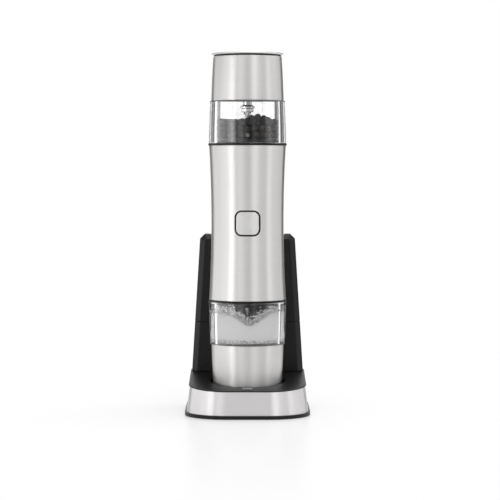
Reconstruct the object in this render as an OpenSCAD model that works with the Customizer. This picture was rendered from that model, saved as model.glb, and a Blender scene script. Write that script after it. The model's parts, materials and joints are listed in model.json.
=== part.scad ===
// Double-ended rechargeable pepper and salt mill, standing in its charging stand.
// Units are millimetres. +Z is up and -Y is the front.
// The origin is the middle of the stand's footprint, on the table.

/* [Stand footprint] */
// Width of the foot ring
foot_w = 82.4; // [78:0.1:96]
// Radius of the two front corners
front_corner_r = 28; // [20:1:32]
// Radius of the two rear corners
rear_corner_r = 11; // [8:1:18]
// Distance of the mill's axis behind the front of the foot ring
mill_setback = 40; // [38:0.2:41]
// Height of the foot ring above the table
foot_h = 2.7; // [2:0.1:4]
// How far the foot ring stands out from the steel band
foot_step = 1.1; // [0.4:0.1:2]
// Height of the rubber feet below the bottom plate
feet_drop = 0.4; // [0.2:0.1:0.8]
// Radius of a rubber foot
feet_r = 5; // [3:0.5:7]

/* [Stand top] */
// Height of the top surface at its front edge
top_front_z = 18.5; // [17.5:0.1:24]
// Slope of the top surface, rising to the back, in degrees
top_slope = 5; // [2:0.5:6]
// How far the steel band leans in between its bottom and its top
band_lean = 1.9; // [0.5:0.1:2]
// Thickness of the steel band
band_t = 0.7; // [0.5:0.1:1]
// Thickness of the dark lip above the steel band
lip_t = 0.7; // [0.5:0.1:1.5]
// How far the lip stands out over the top of the band
lip_step = 0.4; // [0.2:0.1:1]
// Wall of the moulded shells of the stand
shell_wall = 2; // [1.6:0.1:2.6]
// Gap between the lower end of the mill and the wall of the well
well_gap = 0.9; // [0.5:0.1:1.5]
// Height of the well's floor pad above the table
well_z = 14.6; // [13.6:0.1:15.6]
// Thickness of the well's floor pad
pad_t = 1; // [0.6:0.1:1.4]

/* [Back rest] */
// Distance of the back rest's front face behind the mill's axis
back_gap = 30; // [29:0.2:32]
// Depth of the back rest, front to back
back_depth = 16; // [15:0.2:22]
// Height of the top of the back rest above the table
back_top_z = 117.7; // [112:0.5:122]
// Half width of the back rest just above the stand
back_half_low = 38; // [36:0.2:38.4]
// Half width of the back rest near its top
back_half_high = 32.2; // [30:0.2:35]
// Size of the bevel along the front edges of the back rest
back_bevel = 3.4; // [2:0.2:4.4]
// Depth of the dip in the top of the back rest, behind the mill
saddle_depth = 8; // [4:0.5:9]
// Height of the seam between the two parts of the back rest
seam_z = 58.5; // [50:0.5:70]
// Thickness of the rear cover
cover_t = 2; // [1.5:0.1:3]
// Height of the charging contacts above the table
contact_z = 100; // [92:0.5:104]

/* [Mill outline] */
// Radius of the steel body at its waist
waist_r = 23.9; // [23.5:0.1:25.5]
// Radius of the steel body at its two ends
body_end_r = 25.4; // [25.3:0.1:27]
// Length of the steel body
body_len = 101.8; // [99:0.2:116]
// Thickness of the steel body
body_wall = 0.8; // [0.5:0.1:1]
// Radius of the dark rings at both ends of the body
ring_r = 25.9; // [25.8:0.1:28]
// Thickness of the dark rings
ring_t = 1.2; // [0.8:0.1:2]
// Outer radius of a clear chamber where it meets the body
chamber_r = 25.6; // [25:0.1:27.5]
// Outer radius of a clear chamber where it meets its grinder head
chamber_head_r = 24.6; // [24.1:0.1:26]
// Inner radius of a clear chamber
chamber_bore_r = 20.8; // [20.5:0.1:21.8]
// Length of a clear chamber
chamber_len = 27.4; // [26:0.2:36]
// Thickness of the dark line between chamber and steel head
flange_t = 0.5; // [0.4:0.1:1]
// Radius of a steel head beside its chamber
head_r = 23.95; // [23.6:0.05:25]
// Radius of a steel head beside its cap
head_end_r = 22.6; // [22.5:0.1:24]
// Length of a steel head
head_len = 29.3; // [28:0.1:36]
// Radius of the flared rim of a cap
cap_r = 23.7; // [23.1:0.1:25]
// Thickness of the steel disc of a cap
cap_t = 1.7; // [1.2:0.1:3]
// Height of the dark line under a cap
cap_seal_t = 0.8; // [0.5:0.1:1.5]

/* [Push button] */
// Width and height of the button
button_w = 15; // [12:0.2:15.6]
// Corner radius of the button
button_corner_r = 3.7; // [2:0.1:5]
// Width of the dark frame round the button
bezel_w = 0.9; // [0.6:0.1:1.2]
// Gap between the button and its frame
button_gap = 0.1; // [0.06:0.02:0.1]
// How far the button travels when it is pressed
button_travel = 1; // [0.6:0.1:1.1]

/* [Drive] */
// Gear module
gear_m = 0.4; // [0.38:0.01:0.4]
// Teeth of each small gear
pinion_teeth = 12; // [12:1:12]
// Teeth of each large gear
wheel_teeth = 48; // [48:1:48]
// Play between meshing teeth
backlash = 0.08; // [0.06:0.01:0.12]
// Width of the teeth of a large gear
wheel_w = 3; // [2:0.1:3.4]
// Radius of the motor's case
motor_r = 11; // [10:0.1:11.4]
// Length of the motor's case
motor_len = 38; // [34:0.5:42]
// Radius of the motor's shaft
motor_shaft_r = 1; // [0.8:0.05:1.2]
// Radius of a battery cell
cell_r = 5; // [4.5:0.1:5.1]
// Length of a battery cell
cell_len = 44; // [40:0.5:46]
// Radius of a drive shaft
shaft_r = 1.85; // [1.5:0.05:2]
// Running clearance of shafts in their bores
run_gap = 0.05; // [0.03:0.01:0.08]

/* [Grinder] */
// Radius of the feed mouth in the floor of a grinder head
mouth_r = 9.2; // [7.5:0.1:9.4]
// Outer radius of the fixed burr
stator_r = 13; // [12.5:0.1:13.5]
// Thickness of the wall of the moulded grinder housing
housing_wall = 1.4; // [1.1:0.1:1.5]
// Gap between the two burrs at the outlet
burr_gap = 0.5; // [0.3:0.05:0.8]
// Ridges on each burr
burr_teeth = 14; // [10:1:16]
// Outer radius of the clear bridge that carries the spindle
bridge_r = 12.6; // [12:0.1:13]
// Width of the bridge, front to back
bridge_w = 7; // [5:0.5:9]
// Radius of the spindle's collar
collar_r = 4.7; // [4:0.1:5.2]

/* [Hidden] */
$fn = 96;

seat_gap = 0.15;          // between pieces that push or slide together
touch_gap = 0.3;          // between pieces that meet but move apart
slide_gap = 0.08;         // each side of a piece that slides in another
steel = "#c9c7c3";
bright_steel = "#dcdad6";
black_plastic = "#26262a";
dark_plastic = "#3a3a3f";
grey_plastic = "#9a9a9c";
clear_plastic = "#dfe8ec";

// ---- places that follow from the sizes above ----
foot_d = mill_setback + back_gap + back_depth + foot_step + band_lean;
mill_y = -foot_d / 2 + mill_setback;
head_stack = chamber_len + flange_t + head_len + cap_seal_t + cap_t;
joint_h = body_len / 2 + ring_t;              // height of a chamber's open end above the mill's middle
mill_half = joint_h + head_stack;
mid_z = well_z + mill_half;
well_r = cap_r + well_gap;

// plan outlines of the stand, as half widths
foot_half = foot_w / 2;
band_half_low = foot_half - foot_step;
band_half_high = band_half_low - band_lean;
core_half_low = band_half_low - band_t;
core_half_high = band_half_high - band_t;
lip_half = band_half_high + lip_step;
foot_front = -mill_setback;                   // measured from the mill's axis
foot_back = foot_d - mill_setback;
plate_z = feet_drop;
back_rear = back_gap + back_depth;            // rear face of the back rest
band_end = back_gap - 1.5;                    // where the steel band stops beside the back rest
lip_front = foot_front + foot_step + band_lean - lip_step;

function top_z(y) = top_front_z + tan(top_slope) * (y - lip_front);
function body_r(h) = waist_r + (body_end_r - waist_r) * pow(2 * h / body_len, 2);
body_steps = 14;
function body_z(i) = -body_len / 2 + body_len * i / body_steps;

// ================= helpers =================
module at_mill() translate([0, mill_y, 0]) children();
module at_mid() translate([0, mill_y, mid_z]) children();

// side is 1 for the upper half of the mill, -1 for the lower half
module half(side) at_mid() if (side > 0) children(); else mirror([0, 0, 1]) children();
module head(side) half(side) translate([0, 0, joint_h]) children();

module tube(r_out, r_in, h, z = 0) translate([0, 0, z]) difference() {
    cylinder(r = r_out, h = h);
    translate([0, 0, -1]) cylinder(r = r_in, h = h + 2);
}

module rounded_square(w, r) {
    square([w - 2 * r, w], center = true);
    square([w, w - 2 * r], center = true);
    for (x = [-1, 1], y = [-1, 1]) translate([x * (w / 2 - r), y * (w / 2 - r)]) circle(r = r);
}

// prism along Y of a rounded square, from the front surface to the mill's axis
module front_prism(w, r) rotate([90, 0, 0]) linear_extrude(height = 40) rounded_square(w, r);

module shell_slice(r_out, r_in, h) difference() {
    cylinder(r = r_out, h = h, center = true);
    cylinder(r = r_in, h = h + 2, center = true);
}

// plan outline of the stand for a given half width; front and back move with it
module plan(half_w) {
    inset = foot_half - half_w;
    yf = foot_front + inset;
    yb = foot_back - inset;
    rf = front_corner_r - inset;
    rb = rear_corner_r - inset;
    translate([-half_w, yf + rf]) square([2 * half_w, yb - rb - yf - rf]);
    translate([-half_w + rf, yf]) square([2 * (half_w - rf), yb - rb - yf]);
    translate([-half_w + rb, yb - rb - 1]) square([2 * (half_w - rb), rb + 1]);
    for (x = [-1, 1]) {
        translate([x * (half_w - rf), yf + rf]) circle(r = rf);
        translate([x * (half_w - rb), yb - rb]) circle(r = rb);
    }
}

module plan_slab(half_w, z, t) translate([0, 0, z]) linear_extrude(height = t) plan(half_w);

// everything below the sloping top, lowered by drop
module under_top(drop) {
    y0 = -foot_d;
    y1 = foot_d;
    rotate([90, 0, 90]) translate([0, 0, -foot_w]) linear_extrude(height = 2 * foot_w)
        polygon([[y0, -5], [y1, -5], [y1, top_z(y1) - drop], [y0, top_z(y0) - drop]]);
}

// body whose walls lean from half_low at the foot ring to half_high at the band's top
lean_top = top_front_z + 9;
module leaning(half_low, half_high, z0) {
    thin = 0.02;
    rise = (half_low - half_high) / (top_front_z - lip_t - foot_h);
    hull() {
        plan_slab(half_low - rise * (z0 - foot_h), z0, thin, $fn = 96);
        plan_slab(half_low - rise * (lean_top - foot_h), lean_top, thin, $fn = 96);
    }
}

// ================= gears =================
pressure = 25;
add_k = 0.9;
ded_k = 1.2;
function inv(a) = tan(a) - a * PI / 180;
function gear_pr(z) = gear_m * z / 2;
function flank_angle(z, r) =
    let (rb = gear_pr(z) * cos(pressure), rr = max(r, rb * 1.0001))
    90 / z - backlash / 2 / gear_pr(z) * 180 / PI
    + (inv(pressure) - inv(acos(rb / rr))) * 180 / PI;
function tooth(z, a) =
    let (rp = gear_pr(z), rf = rp - ded_k * gear_m, ra = rp + add_k * gear_m,
         rs = [rf, max(rf, rp * cos(pressure)), rp, (rp + ra) / 2, ra])
    concat(
        [for (i = [0:len(rs) - 1]) let (t = a - flank_angle(z, rs[i])) [rs[i] * cos(t), rs[i] * sin(t)]],
        [for (i = [len(rs) - 1:-1:0]) let (t = a + flank_angle(z, rs[i])) [rs[i] * cos(t), rs[i] * sin(t)]]);
module gear(z, w, turn = 0) linear_extrude(height = w)
    polygon([for (i = [0:z - 1]) each tooth(z, turn + i * 360 / z)]);

centre_distance = gear_m * (pinion_teeth + wheel_teeth) / 2;
stage_1_z = body_len / 2 - 16.7;              // stage heights above the mill's middle
stage_gap = 1;
stage_2_z = stage_1_z + wheel_w + stage_gap + 0.4;
plate_top = stage_1_z - 1.2;
plate_t = 2;
bulkhead_t = 5.4;
bulkhead_z = body_len / 2 - bulkhead_t;
axle_seat = 2.2;          // depth of an idler's axle in the bulkhead
axle_foot = plate_top - plate_t + 0.8;
hub_r = 4;
gearbox_r = waist_r - body_wall - 0.3 + 0.6;
gearbox_bore_r = gearbox_r - 1.1;
spigot_h = 3;
spigot_wall = 1.9;
spigot_r = chamber_bore_r - 0.6;

// ================= charging stand =================
boss_x = foot_half - 12;
boss_front = foot_front + 16.5;
boss_back = foot_back - 9;
boss_spots = [[-boss_x, boss_front], [boss_x, boss_front], [-boss_x, boss_back], [boss_x, boss_back]];
screw_r = 1.5;
screw_head_r = 2.8;
screw_head_h = 1.2;
boss_r = 3.2;
feet_x = foot_half - 13;
feet_front = foot_front + 8.5;
feet_back = foot_back - 21;
feet_spots = [[-feet_x + 9, feet_front], [feet_x - 9, feet_front], [-feet_x, feet_back], [feet_x, feet_back]];
ledge_h = 2;
pad_bed_z = well_z - pad_t;
cup_wall = 1.8;
socket_w = 9;
socket_len = 11;
socket_h = 8.6;
socket_bore_r = 2.8;
board_z = foot_h + ledge_h + 0.8;
board_t = 1.2;
board_half_x = 16;
board_peg_x = board_half_x - 3;
socket_z = board_z + board_t + socket_h / 2;
lean_rate = band_lean / (top_front_z - lip_t - foot_h);
board_margin = 3.4;       // board that reaches out in front of the socket
socket_lean = lean_rate * (socket_z + socket_h / 2 - foot_h);
socket_back = foot_back - foot_step - band_t - shell_wall - socket_lean - seat_gap;
board_front = socket_back - socket_len - board_margin;
peg_y = board_front + 2.6;
peg_r = 2;
peg_pin_r = 0.9;
ledge_top = foot_h + ledge_h;
stand_screw_len = ledge_top + 4;
lead_w = 12;              // slot for the leads that go up into the back rest
lead_d = 6;
lens_w = 6.6;
lens_d = 2.4;
lens_y = -well_r - 4.6;
lens_t = 2.8;

module base_shell() color(black_plastic) at_mill() difference() {
    union() {
        difference() {
            union() {
                intersection() {
                    leaning(core_half_low, core_half_high, foot_h);
                    under_top(lip_t);
                }
                intersection() {
                    difference() {
                        plan_slab(lip_half, foot_h, lean_top);
                        under_top(lip_t);
                    }
                    under_top(0);
                }
                intersection() {
                    leaning(band_half_low, band_half_high, foot_h);
                    under_top(lip_t);
                    translate([-foot_w, band_end + seat_gap, 0]) cube([2 * foot_w, foot_d, lean_top]);
                }
            }
            intersection() {
                leaning(core_half_low - shell_wall, core_half_high - shell_wall, foot_h - 1);
                under_top(shell_wall);
            }
        }
        intersection() {
            union() {
                translate([0, 0, pad_bed_z - cup_wall]) cylinder(r = well_r + cup_wall, h = lean_top);
                for (p = boss_spots) translate([p.x, p.y, ledge_top + 0.2]) cylinder(r = boss_r, h = lean_top);
            }
            under_top(shell_wall / 2);
        }
    }
    translate([0, 0, pad_bed_z]) cylinder(r = well_r, h = lean_top);
    for (p = boss_spots) translate([p.x, p.y, 0]) cylinder(r = screw_r + run_gap, h = stand_screw_len + 2);
    translate([0, foot_back - 6, socket_z]) rotate([-90, 0, 0]) cylinder(r = socket_bore_r + 0.9, h = 12);
    translate([-lens_w / 2 - seat_gap, lens_y - lens_d / 2 - seat_gap, foot_h])
        cube([lens_w + 2 * seat_gap, lens_d + 2 * seat_gap, lean_top]);
    translate([-lead_w / 2, back_gap + 4, foot_h]) cube([lead_w, lead_d, lean_top]);
}

module base_trim() color(steel) at_mill() intersection() {
    difference() {
        leaning(band_half_low, band_half_high, foot_h + 0.02);
        leaning(core_half_low + 0.01, core_half_high + 0.01, foot_h - 1);
    }
    under_top(lip_t + 0.02);
    translate([-foot_w, foot_front, foot_h]) cube([2 * foot_w, band_end - foot_front, lean_top]);
}

screw_play = 0.15;        // round a screw in its clearance hole
module base_plate() color(black_plastic) at_mill() difference() {
    union() {
        plan_slab(foot_half, plate_z, foot_h - plate_z);
        plan_slab(core_half_low - shell_wall - seat_gap - lean_rate * ledge_h, foot_h, ledge_h);
        for (x = [-1, 1]) translate([x * board_peg_x, peg_y, foot_h]) {
            cylinder(r = peg_r, h = board_z - foot_h);
            cylinder(r = peg_pin_r, h = board_z + board_t + 0.5 - foot_h);
        }
    }
    for (p = feet_spots) translate([p.x, p.y, plate_z - 1]) cylinder(r = feet_r + seat_gap, h = 2);
    for (p = boss_spots) translate([p.x, p.y, 0]) {
        cylinder(r = screw_r + screw_play, h = 10);
        cylinder(r = screw_head_r + screw_play, h = plate_z + screw_head_h + 0.2);
    }
}

module base_feet() color("#1c1c1e") at_mill()
    for (p = feet_spots) translate([p.x, p.y, 0]) cylinder(r = feet_r, h = plate_z + 1);

cross_w = 3;
cross_t = 0.5;
cross_depth = 0.7;
module cross_head_screw(length) difference() {
    union() {
        cylinder(r = screw_head_r, h = screw_head_h);
        cylinder(r = screw_r, h = length);
    }
    for (a = [0, 90]) rotate(a) translate([-cross_w / 2, -cross_t / 2, -1]) cube([cross_w, cross_t, cross_depth + 1]);
}

cover_screw_z = [42, 86];
cover_screw_len = 8;
module stand_screws() color("#8d8d90") at_mill() {
    for (p = boss_spots) translate([p.x, p.y, plate_z + 0.2]) cross_head_screw(stand_screw_len);
    for (z = cover_screw_z, x = [-1, 1])
        translate([x * cover_screw_x, back_rear - 0.2, z]) rotate([90, 0, 0])
            cross_head_screw(cover_screw_len);
}

module well_pad() color("#202024") at_mill() translate([0, 0, pad_bed_z]) cylinder(r = well_r - 0.3, h = pad_t);

// ---- back rest: a slab that narrows upwards, bevelled along its front edges ----
back_low_z = top_z(back_gap) - 4;             // below the stand's top, so that the foot can be cut to it
back_corner = 3.2;                            // size of the cut at each upper corner
module back_outline(inset) {
    corner = back_corner + 0.4 * inset;
    polygon([
        [-back_half_low + inset, back_low_z], [-back_half_high + inset, back_top_z - corner],
        [-back_half_high + corner, back_top_z - inset], [back_half_high - corner, back_top_z - inset],
        [back_half_high - inset, back_top_z - corner], [back_half_low - inset, back_low_z]]);
}
module back_layer(inset, y, t) translate([0, y + t, 0]) rotate([90, 0, 0])
    linear_extrude(height = t) back_outline(inset);
module back_block(inset, y_front, y_rear) hull() {
    back_layer(back_bevel + inset, y_front, 0.02);
    back_layer(inset, y_front + back_bevel, y_rear - y_front - back_bevel);
}
// dip in the middle of the top, with rounded shoulders
saddle_half = 26.5;
saddle_r = 4;
module saddle_outline(wall) difference() {
    union() {
        translate([-saddle_half + saddle_r - wall, back_top_z - saddle_depth - wall])
            square([2 * (saddle_half - saddle_r + wall), 3 * saddle_depth]);
        translate([-saddle_half, back_top_z - saddle_r]) square([2 * saddle_half, 2 * saddle_depth]);
    }
    for (x = [-1, 1]) translate([x * saddle_half, back_top_z - saddle_r]) circle(r = saddle_r - wall);
}
module saddle(wall) translate([0, foot_d, 0]) rotate([90, 0, 0])
    linear_extrude(height = 2 * foot_d) saddle_outline(wall);
back_shell_rear = back_rear - cover_t - 0.1;
module back_shell_body() difference() {
    back_block(0, back_gap, back_shell_rear);
    saddle(0);
    difference() {
        back_block(shell_wall, back_gap + shell_wall, back_rear + 1);
        saddle(shell_wall);
    }
}
module z_band(z0, z1) translate([-foot_w, -foot_d, z0]) cube([2 * foot_w, 3 * foot_d, z1 - z0]);
cover_screw_x = 20;
cover_boss_r = 2.9;
module cover_bosses(z0, z1) for (z = cover_screw_z, x = [-1, 1]) if (z > z0 && z < z1)
    translate([x * cover_screw_x, back_shell_rear, z]) rotate([90, 0, 0]) difference() {
        cylinder(r = cover_boss_r, h = back_shell_rear - back_gap - shell_wall / 2);
        translate([0, 0, -1]) cylinder(r = screw_r + run_gap, h = cover_screw_len + 1);
    }

module back_lower() color(black_plastic) at_mill() difference() {
    intersection() {
        union() {
            back_shell_body();
            cover_bosses(0, seam_z);
        }
        z_band(0, seam_z - 0.1);
    }
    under_top(-0.02);
}

carrier_w = 15;
carrier_h = 8;
carrier_front = ring_r + 1.15;
carrier_rear = back_gap + shell_wall + 2.4;
carrier_lip = 1.5;
carrier_margin = 3;       // wall of the boss round the sliding contact
boss_out = 2.3;
module back_upper() color(black_plastic) at_mill() difference() {
    union() {
        intersection() {
            back_shell_body();
            z_band(seam_z + 0.1, back_top_z + 1);
        }
        cover_bosses(seam_z, back_top_z);
        translate([-carrier_w / 2 - carrier_margin, back_gap - boss_out, contact_z - carrier_h / 2 - carrier_margin])
            cube([carrier_w + 2 * carrier_margin, boss_out + shell_wall, carrier_h + 2 * carrier_margin]);
    }
    translate([-carrier_w / 2 - slide_gap, 0, contact_z - carrier_h / 2 - slide_gap])
        cube([carrier_w + 2 * slide_gap, back_gap + shell_wall + 1, carrier_h + 2 * slide_gap]);
}

module back_cover() color(dark_plastic) at_mill() difference() {
    intersection() {
        back_layer(0.3, back_rear - cover_t, cover_t);
        z_band(top_z(back_rear) + 0.1, back_top_z + 1);
    }
    saddle(-0.3);
    for (z = cover_screw_z, x = [-1, 1]) translate([x * cover_screw_x, back_rear + 1, z]) rotate([90, 0, 0]) {
        cylinder(r = screw_r + screw_play, h = 10);
        cylinder(r = screw_head_r + screw_play, h = 1 + 0.2 + screw_head_h);
    }
}

pin_r = 1.4;
pin_x = 4.2;
pin_seat = 3;
pin_nose_r = 0.9;
pin_nose_len = 0.8;
spring_seat = 1.2;
spring_r = 2.5;
spring_wire_r = 0.3;
spring_turns = 5;
lip_w = carrier_w + 2 * carrier_lip;
lip_h = carrier_h + 2 * carrier_lip;
lip_y = back_gap + shell_wall + touch_gap;
module contact_carrier() color(dark_plastic) at_mill() difference() {
    union() {
        translate([-carrier_w / 2, carrier_front, contact_z - carrier_h / 2])
            cube([carrier_w, carrier_rear - carrier_front, carrier_h]);
        translate([-lip_w / 2, lip_y, contact_z - lip_h / 2]) cube([lip_w, carrier_rear - lip_y, lip_h]);
    }
    for (x = [-1, 1]) translate([x * pin_x, carrier_front - 1, contact_z]) rotate([-90, 0, 0])
        cylinder(r = pin_r, h = pin_seat + 1);
    translate([0, carrier_rear - spring_seat, contact_z]) rotate([-90, 0, 0]) cylinder(r = spring_r + 0.7, h = 5);
}

module contact_pins() color("#d8b45a") at_mill() for (x = [-1, 1])
    translate([x * pin_x, carrier_front + pin_seat, contact_z]) rotate([90, 0, 0]) {
        cylinder(r = pin_r, h = pin_seat);
        translate([0, 0, pin_seat]) cylinder(r1 = pin_r, r2 = pin_nose_r, h = pin_nose_len);
    }

// coil spring along +Z from its first turn's centre, as one swept tube
module coil(r, wire_r, length, turns) {
    steps = 14;
    sides = 6;
    n = turns * steps;
    pts = [for (i = [0:n]) let (a = i * 360 / steps, z = wire_r + (length - 2 * wire_r) * i / n)
        for (j = [0:sides - 1]) let (b = j * 360 / sides)
            [(r + wire_r * cos(b)) * cos(a), (r + wire_r * cos(b)) * sin(a), z + wire_r * sin(b)]];
    faces = concat(
        [[for (j = [0:sides - 1]) j]],
        [for (i = [0:n - 1], j = [0:sides - 1]) let (k = (j + 1) % sides)
            [i * sides + j, (i + 1) * sides + j, (i + 1) * sides + k, i * sides + k]],
        [[for (j = [sides - 1:-1:0]) n * sides + j]]);
    polyhedron(pts, faces, convexity = 10);
}
module contact_spring() color(bright_steel) at_mill()
    translate([0, carrier_rear - spring_seat + 0.05, contact_z]) rotate([-90, 0, 0])
        coil(spring_r, spring_wire_r, back_rear - cover_t - carrier_rear + spring_seat - 0.1, spring_turns);

module charge_board() color("#1f5a36") at_mill() {
    difference() {
        translate([-board_half_x, board_front, board_z]) cube([2 * board_half_x, socket_back - board_front, board_t]);
        for (x = [-1, 1]) translate([x * board_peg_x, peg_y, board_z - 1]) cylinder(r = peg_pin_r + seat_gap, h = 4);
    }
    for (s = [-1, 1]) translate([s * 9 - 2, board_front + 4.5, board_z + board_t]) cube([4, 5, 1.6]);
}

socket_bore_depth = 9;
socket_pin_r = 1;
module dc_socket() color(black_plastic) at_mill() difference() {
    translate([-socket_w / 2, socket_back - socket_len, board_z + board_t + 0.02])
        cube([socket_w, socket_len, socket_h]);
    translate([0, socket_back - socket_bore_depth, socket_z]) rotate([-90, 0, 0]) difference() {
        cylinder(r = socket_bore_r, h = socket_bore_depth + 3);
        translate([0, 0, -0.5]) cylinder(r = socket_pin_r, h = socket_bore_depth - 0.5);
    }
}

module indicator_lens() color("#c8ccd0") at_mill() intersection() {
    difference() {
        translate([-lens_w / 2, lens_y - lens_d / 2, foot_h]) cube([lens_w, lens_d, lean_top]);
        under_top(lens_t);
    }
    under_top(-0.1);
}

// ================= body of the mill =================
window_w = button_w + 2 * (button_gap + bezel_w);
insert_w = 16;
insert_h = 9;
insert_face = ring_r - 0.1;
insert_play = 0.05;
module body_sleeve() color(steel) at_mid() difference() {
    rotate_extrude() polygon(concat(
        [for (i = [0:body_steps]) [body_r(body_z(i)), body_z(i)]],
        [for (i = [body_steps:-1:0]) [body_r(body_z(i)) - body_wall, body_z(i)]]));
    front_prism(window_w + 0.04, button_corner_r + bezel_w + button_gap);
    translate([-insert_w / 2 - insert_play, 5, contact_z - mid_z - insert_h / 2 - insert_play])
        cube([insert_w + 2 * insert_play, 30, insert_h + 2 * insert_play]);
}

frame_r = waist_r - body_wall - 0.3;
frame_bore_r = frame_r - 0.8;
frame_half = plate_top - plate_t;
cell_x = frame_bore_r - cell_r - 0.3;
yoke_z = motor_len / 2 - 4;
yoke_t = 2;
board_y = -13.4;
board_half_w = 12;
flange_w = window_w + 3;
module motor_frame() color(dark_plastic) at_mid() difference() {
    union() {
        tube(frame_r, frame_bore_r, 2 * frame_half - 0.1, -frame_half + 0.05);
        for (s = [-1, 1]) translate([0, 0, s * yoke_z - yoke_t / 2]) difference() {
            cylinder(r = frame_bore_r + 0.3, h = yoke_t);
            translate([-board_half_w - 0.3, -30, -1])
                cube([2 * board_half_w + 0.6, 30 + board_y + 0.4, yoke_t + 2]);
        }
    }
    cylinder(r = motor_r + 0.05, h = motor_len, center = true);
    for (x = [-1, 1]) translate([x * cell_x, 0, 0])
        cylinder(r = cell_r + 0.05, h = cell_len + 2, center = true);
    front_prism(flange_w + 1, 5);
    translate([-insert_w / 2 - 0.5, 12, contact_z - mid_z - insert_h / 2 - 0.5])
        cube([insert_w + 1, 30, insert_h + 1]);
}

module gearbox(side) color(black_plastic) half(side) difference() {
    union() {
        tube(gearbox_r, gearbox_bore_r, bulkhead_z - plate_top + 1, plate_top + 0.02);
        translate([0, 0, bulkhead_z]) cylinder(r = gearbox_r, h = bulkhead_t + 0.5);
        translate([0, 0, body_len / 2]) cylinder(r = ring_r, h = ring_t);
        tube(spigot_r, spigot_r - spigot_wall, spigot_h + 0.5, joint_h - 0.5);
        translate([0, 0, joint_h - 0.5]) cylinder(r = hub_r, h = spigot_h - 0.5);
    }
    cylinder(r = shaft_r + run_gap, h = joint_h + spigot_h + 1);
    translate([0, centre_distance, 0]) cylinder(r = motor_shaft_r + run_gap, h = bulkhead_z + axle_seat + 0.4);
    ring_at_spigot(ring_cord_r + 0.06);
}

// ring on the spigot: the o-ring, or the groove that it sits in
ring_cord_r = 0.54;
module ring_at_spigot(r) translate([0, 0, joint_h + spigot_h / 2])
    rotate_extrude() translate([spigot_r, 0]) circle(r = r, $fn = 32);
module o_ring(side) color("#2c2c30") half(side) ring_at_spigot(ring_cord_r);

module gear_plate(side) color(dark_plastic) half(side) difference() {
    translate([0, 0, plate_top - plate_t]) cylinder(r = gearbox_r, h = plate_t);
    cylinder(r = motor_shaft_r + 0.4, h = plate_top + 1);
    translate([0, centre_distance, plate_top - plate_t + 0.5])
        cylinder(r = motor_shaft_r + run_gap, h = plate_t + 1);
}

motor_wall = 0.8;
motor_end_t = 1.5;
module motor_can() color("#a9abad") at_mid() difference() {
    union() {
        cylinder(r = motor_r, h = motor_len, center = true);
        cylinder(r = 3, h = motor_len + 3, center = true);
    }
    cylinder(r = motor_r - motor_wall, h = motor_len - 2 * motor_end_t, center = true);
    cylinder(r = motor_shaft_r + run_gap, h = motor_len + 10, center = true);
}

rotor_r = motor_r - 3;
rotor_len = motor_len - 12;
module motor_rotor() color("#8a5a34") at_mid() difference() {
    union() {
        cylinder(r = rotor_r, h = rotor_len, center = true);
        translate([0, 0, rotor_len / 2]) cylinder(r = 2.8, h = 3);
    }
    cylinder(r = motor_shaft_r, h = motor_len, center = true);
    for (a = [0:72:288]) rotate(a) translate([rotor_r - 2.6, -0.5, -rotor_len]) cube([4, 1, 2 * rotor_len]);
}

pinion_reach = stage_1_z + wheel_w + 0.4;
module motor_shaft() color(bright_steel) at_mid() {
    cylinder(r = motor_shaft_r, h = 2 * pinion_reach - 2 * wheel_w - 1, center = true);
    for (s = [-1, 1]) mirror([0, 0, s < 0 ? 1 : 0])
        translate([0, 0, stage_1_z - 0.4]) gear(pinion_teeth, wheel_w + 0.8);
}

module battery_cells() color("#3f6f9c") at_mid() for (x = [-1, 1]) translate([x * cell_x, 0, 0]) {
    cylinder(r = cell_r, h = cell_len - 1, center = true);
    translate([0, 0, cell_len / 2 - 0.5]) cylinder(r = 1.8, h = 0.8);
}

switch_half = 3;
switch_front = -18.2;
switch_knob = 0.45;       // knob of the switch, with the play in front of it
board_len = 48;
chip_w = 8;
chip_h = 5;
chip_t = 1.4;
module control_board() color("#1f5a36") at_mid() {
    translate([-board_half_w, board_y - board_t, -board_len / 2]) cube([2 * board_half_w, board_t, board_len]);
    translate([-switch_half, switch_front, -switch_half])
        cube([2 * switch_half, board_y - board_t - switch_front + 0.1, 2 * switch_half]);
    translate([0, switch_front + 0.1, 0]) rotate([90, 0, 0]) cylinder(r = plunger_r + 0.2, h = switch_knob - 0.1);
    for (s = [-1, 1]) translate([-chip_w / 2, board_y - board_t - chip_t, s * board_len * 0.3 - chip_h / 2])
        cube([chip_w, chip_t + 0.1, chip_h]);
}

button_skin = 3.5;
button_flange_w = button_w + 2.2;
button_flange_t = 1.1;
plunger_r = 1.5;
plunger_len = 3;
module power_button() color(bright_steel) at_mid() {
    intersection() {
        front_prism(button_w, button_corner_r);
        shell_slice(waist_r, waist_r - button_skin, button_w + 4);
    }
    intersection() {
        front_prism(button_flange_w, button_corner_r + 1);
        shell_slice(waist_r - button_skin + button_flange_t, waist_r - button_skin, button_w + 4);
    }
    intersection() {
        translate([0, switch_front - switch_knob - button_travel, 0]) rotate([90, 0, 0])
            cylinder(r = plunger_r, h = plunger_len);
        cylinder(r = waist_r - 2, h = 10, center = true);
    }
}

module button_bezel() color("#2a2a2c") at_mid() difference() {
    union() {
        intersection() {
            front_prism(window_w, button_corner_r + bezel_w + button_gap);
            shell_slice(waist_r - 0.1, frame_bore_r - 0.3, window_w + 4);
        }
        intersection() {
            front_prism(flange_w, 5);
            shell_slice(waist_r - body_wall - 0.15, waist_r - body_wall - 1.1, flange_w + 4);
        }
    }
    front_prism(button_w + 2 * button_gap, button_corner_r + button_gap);
}

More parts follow.
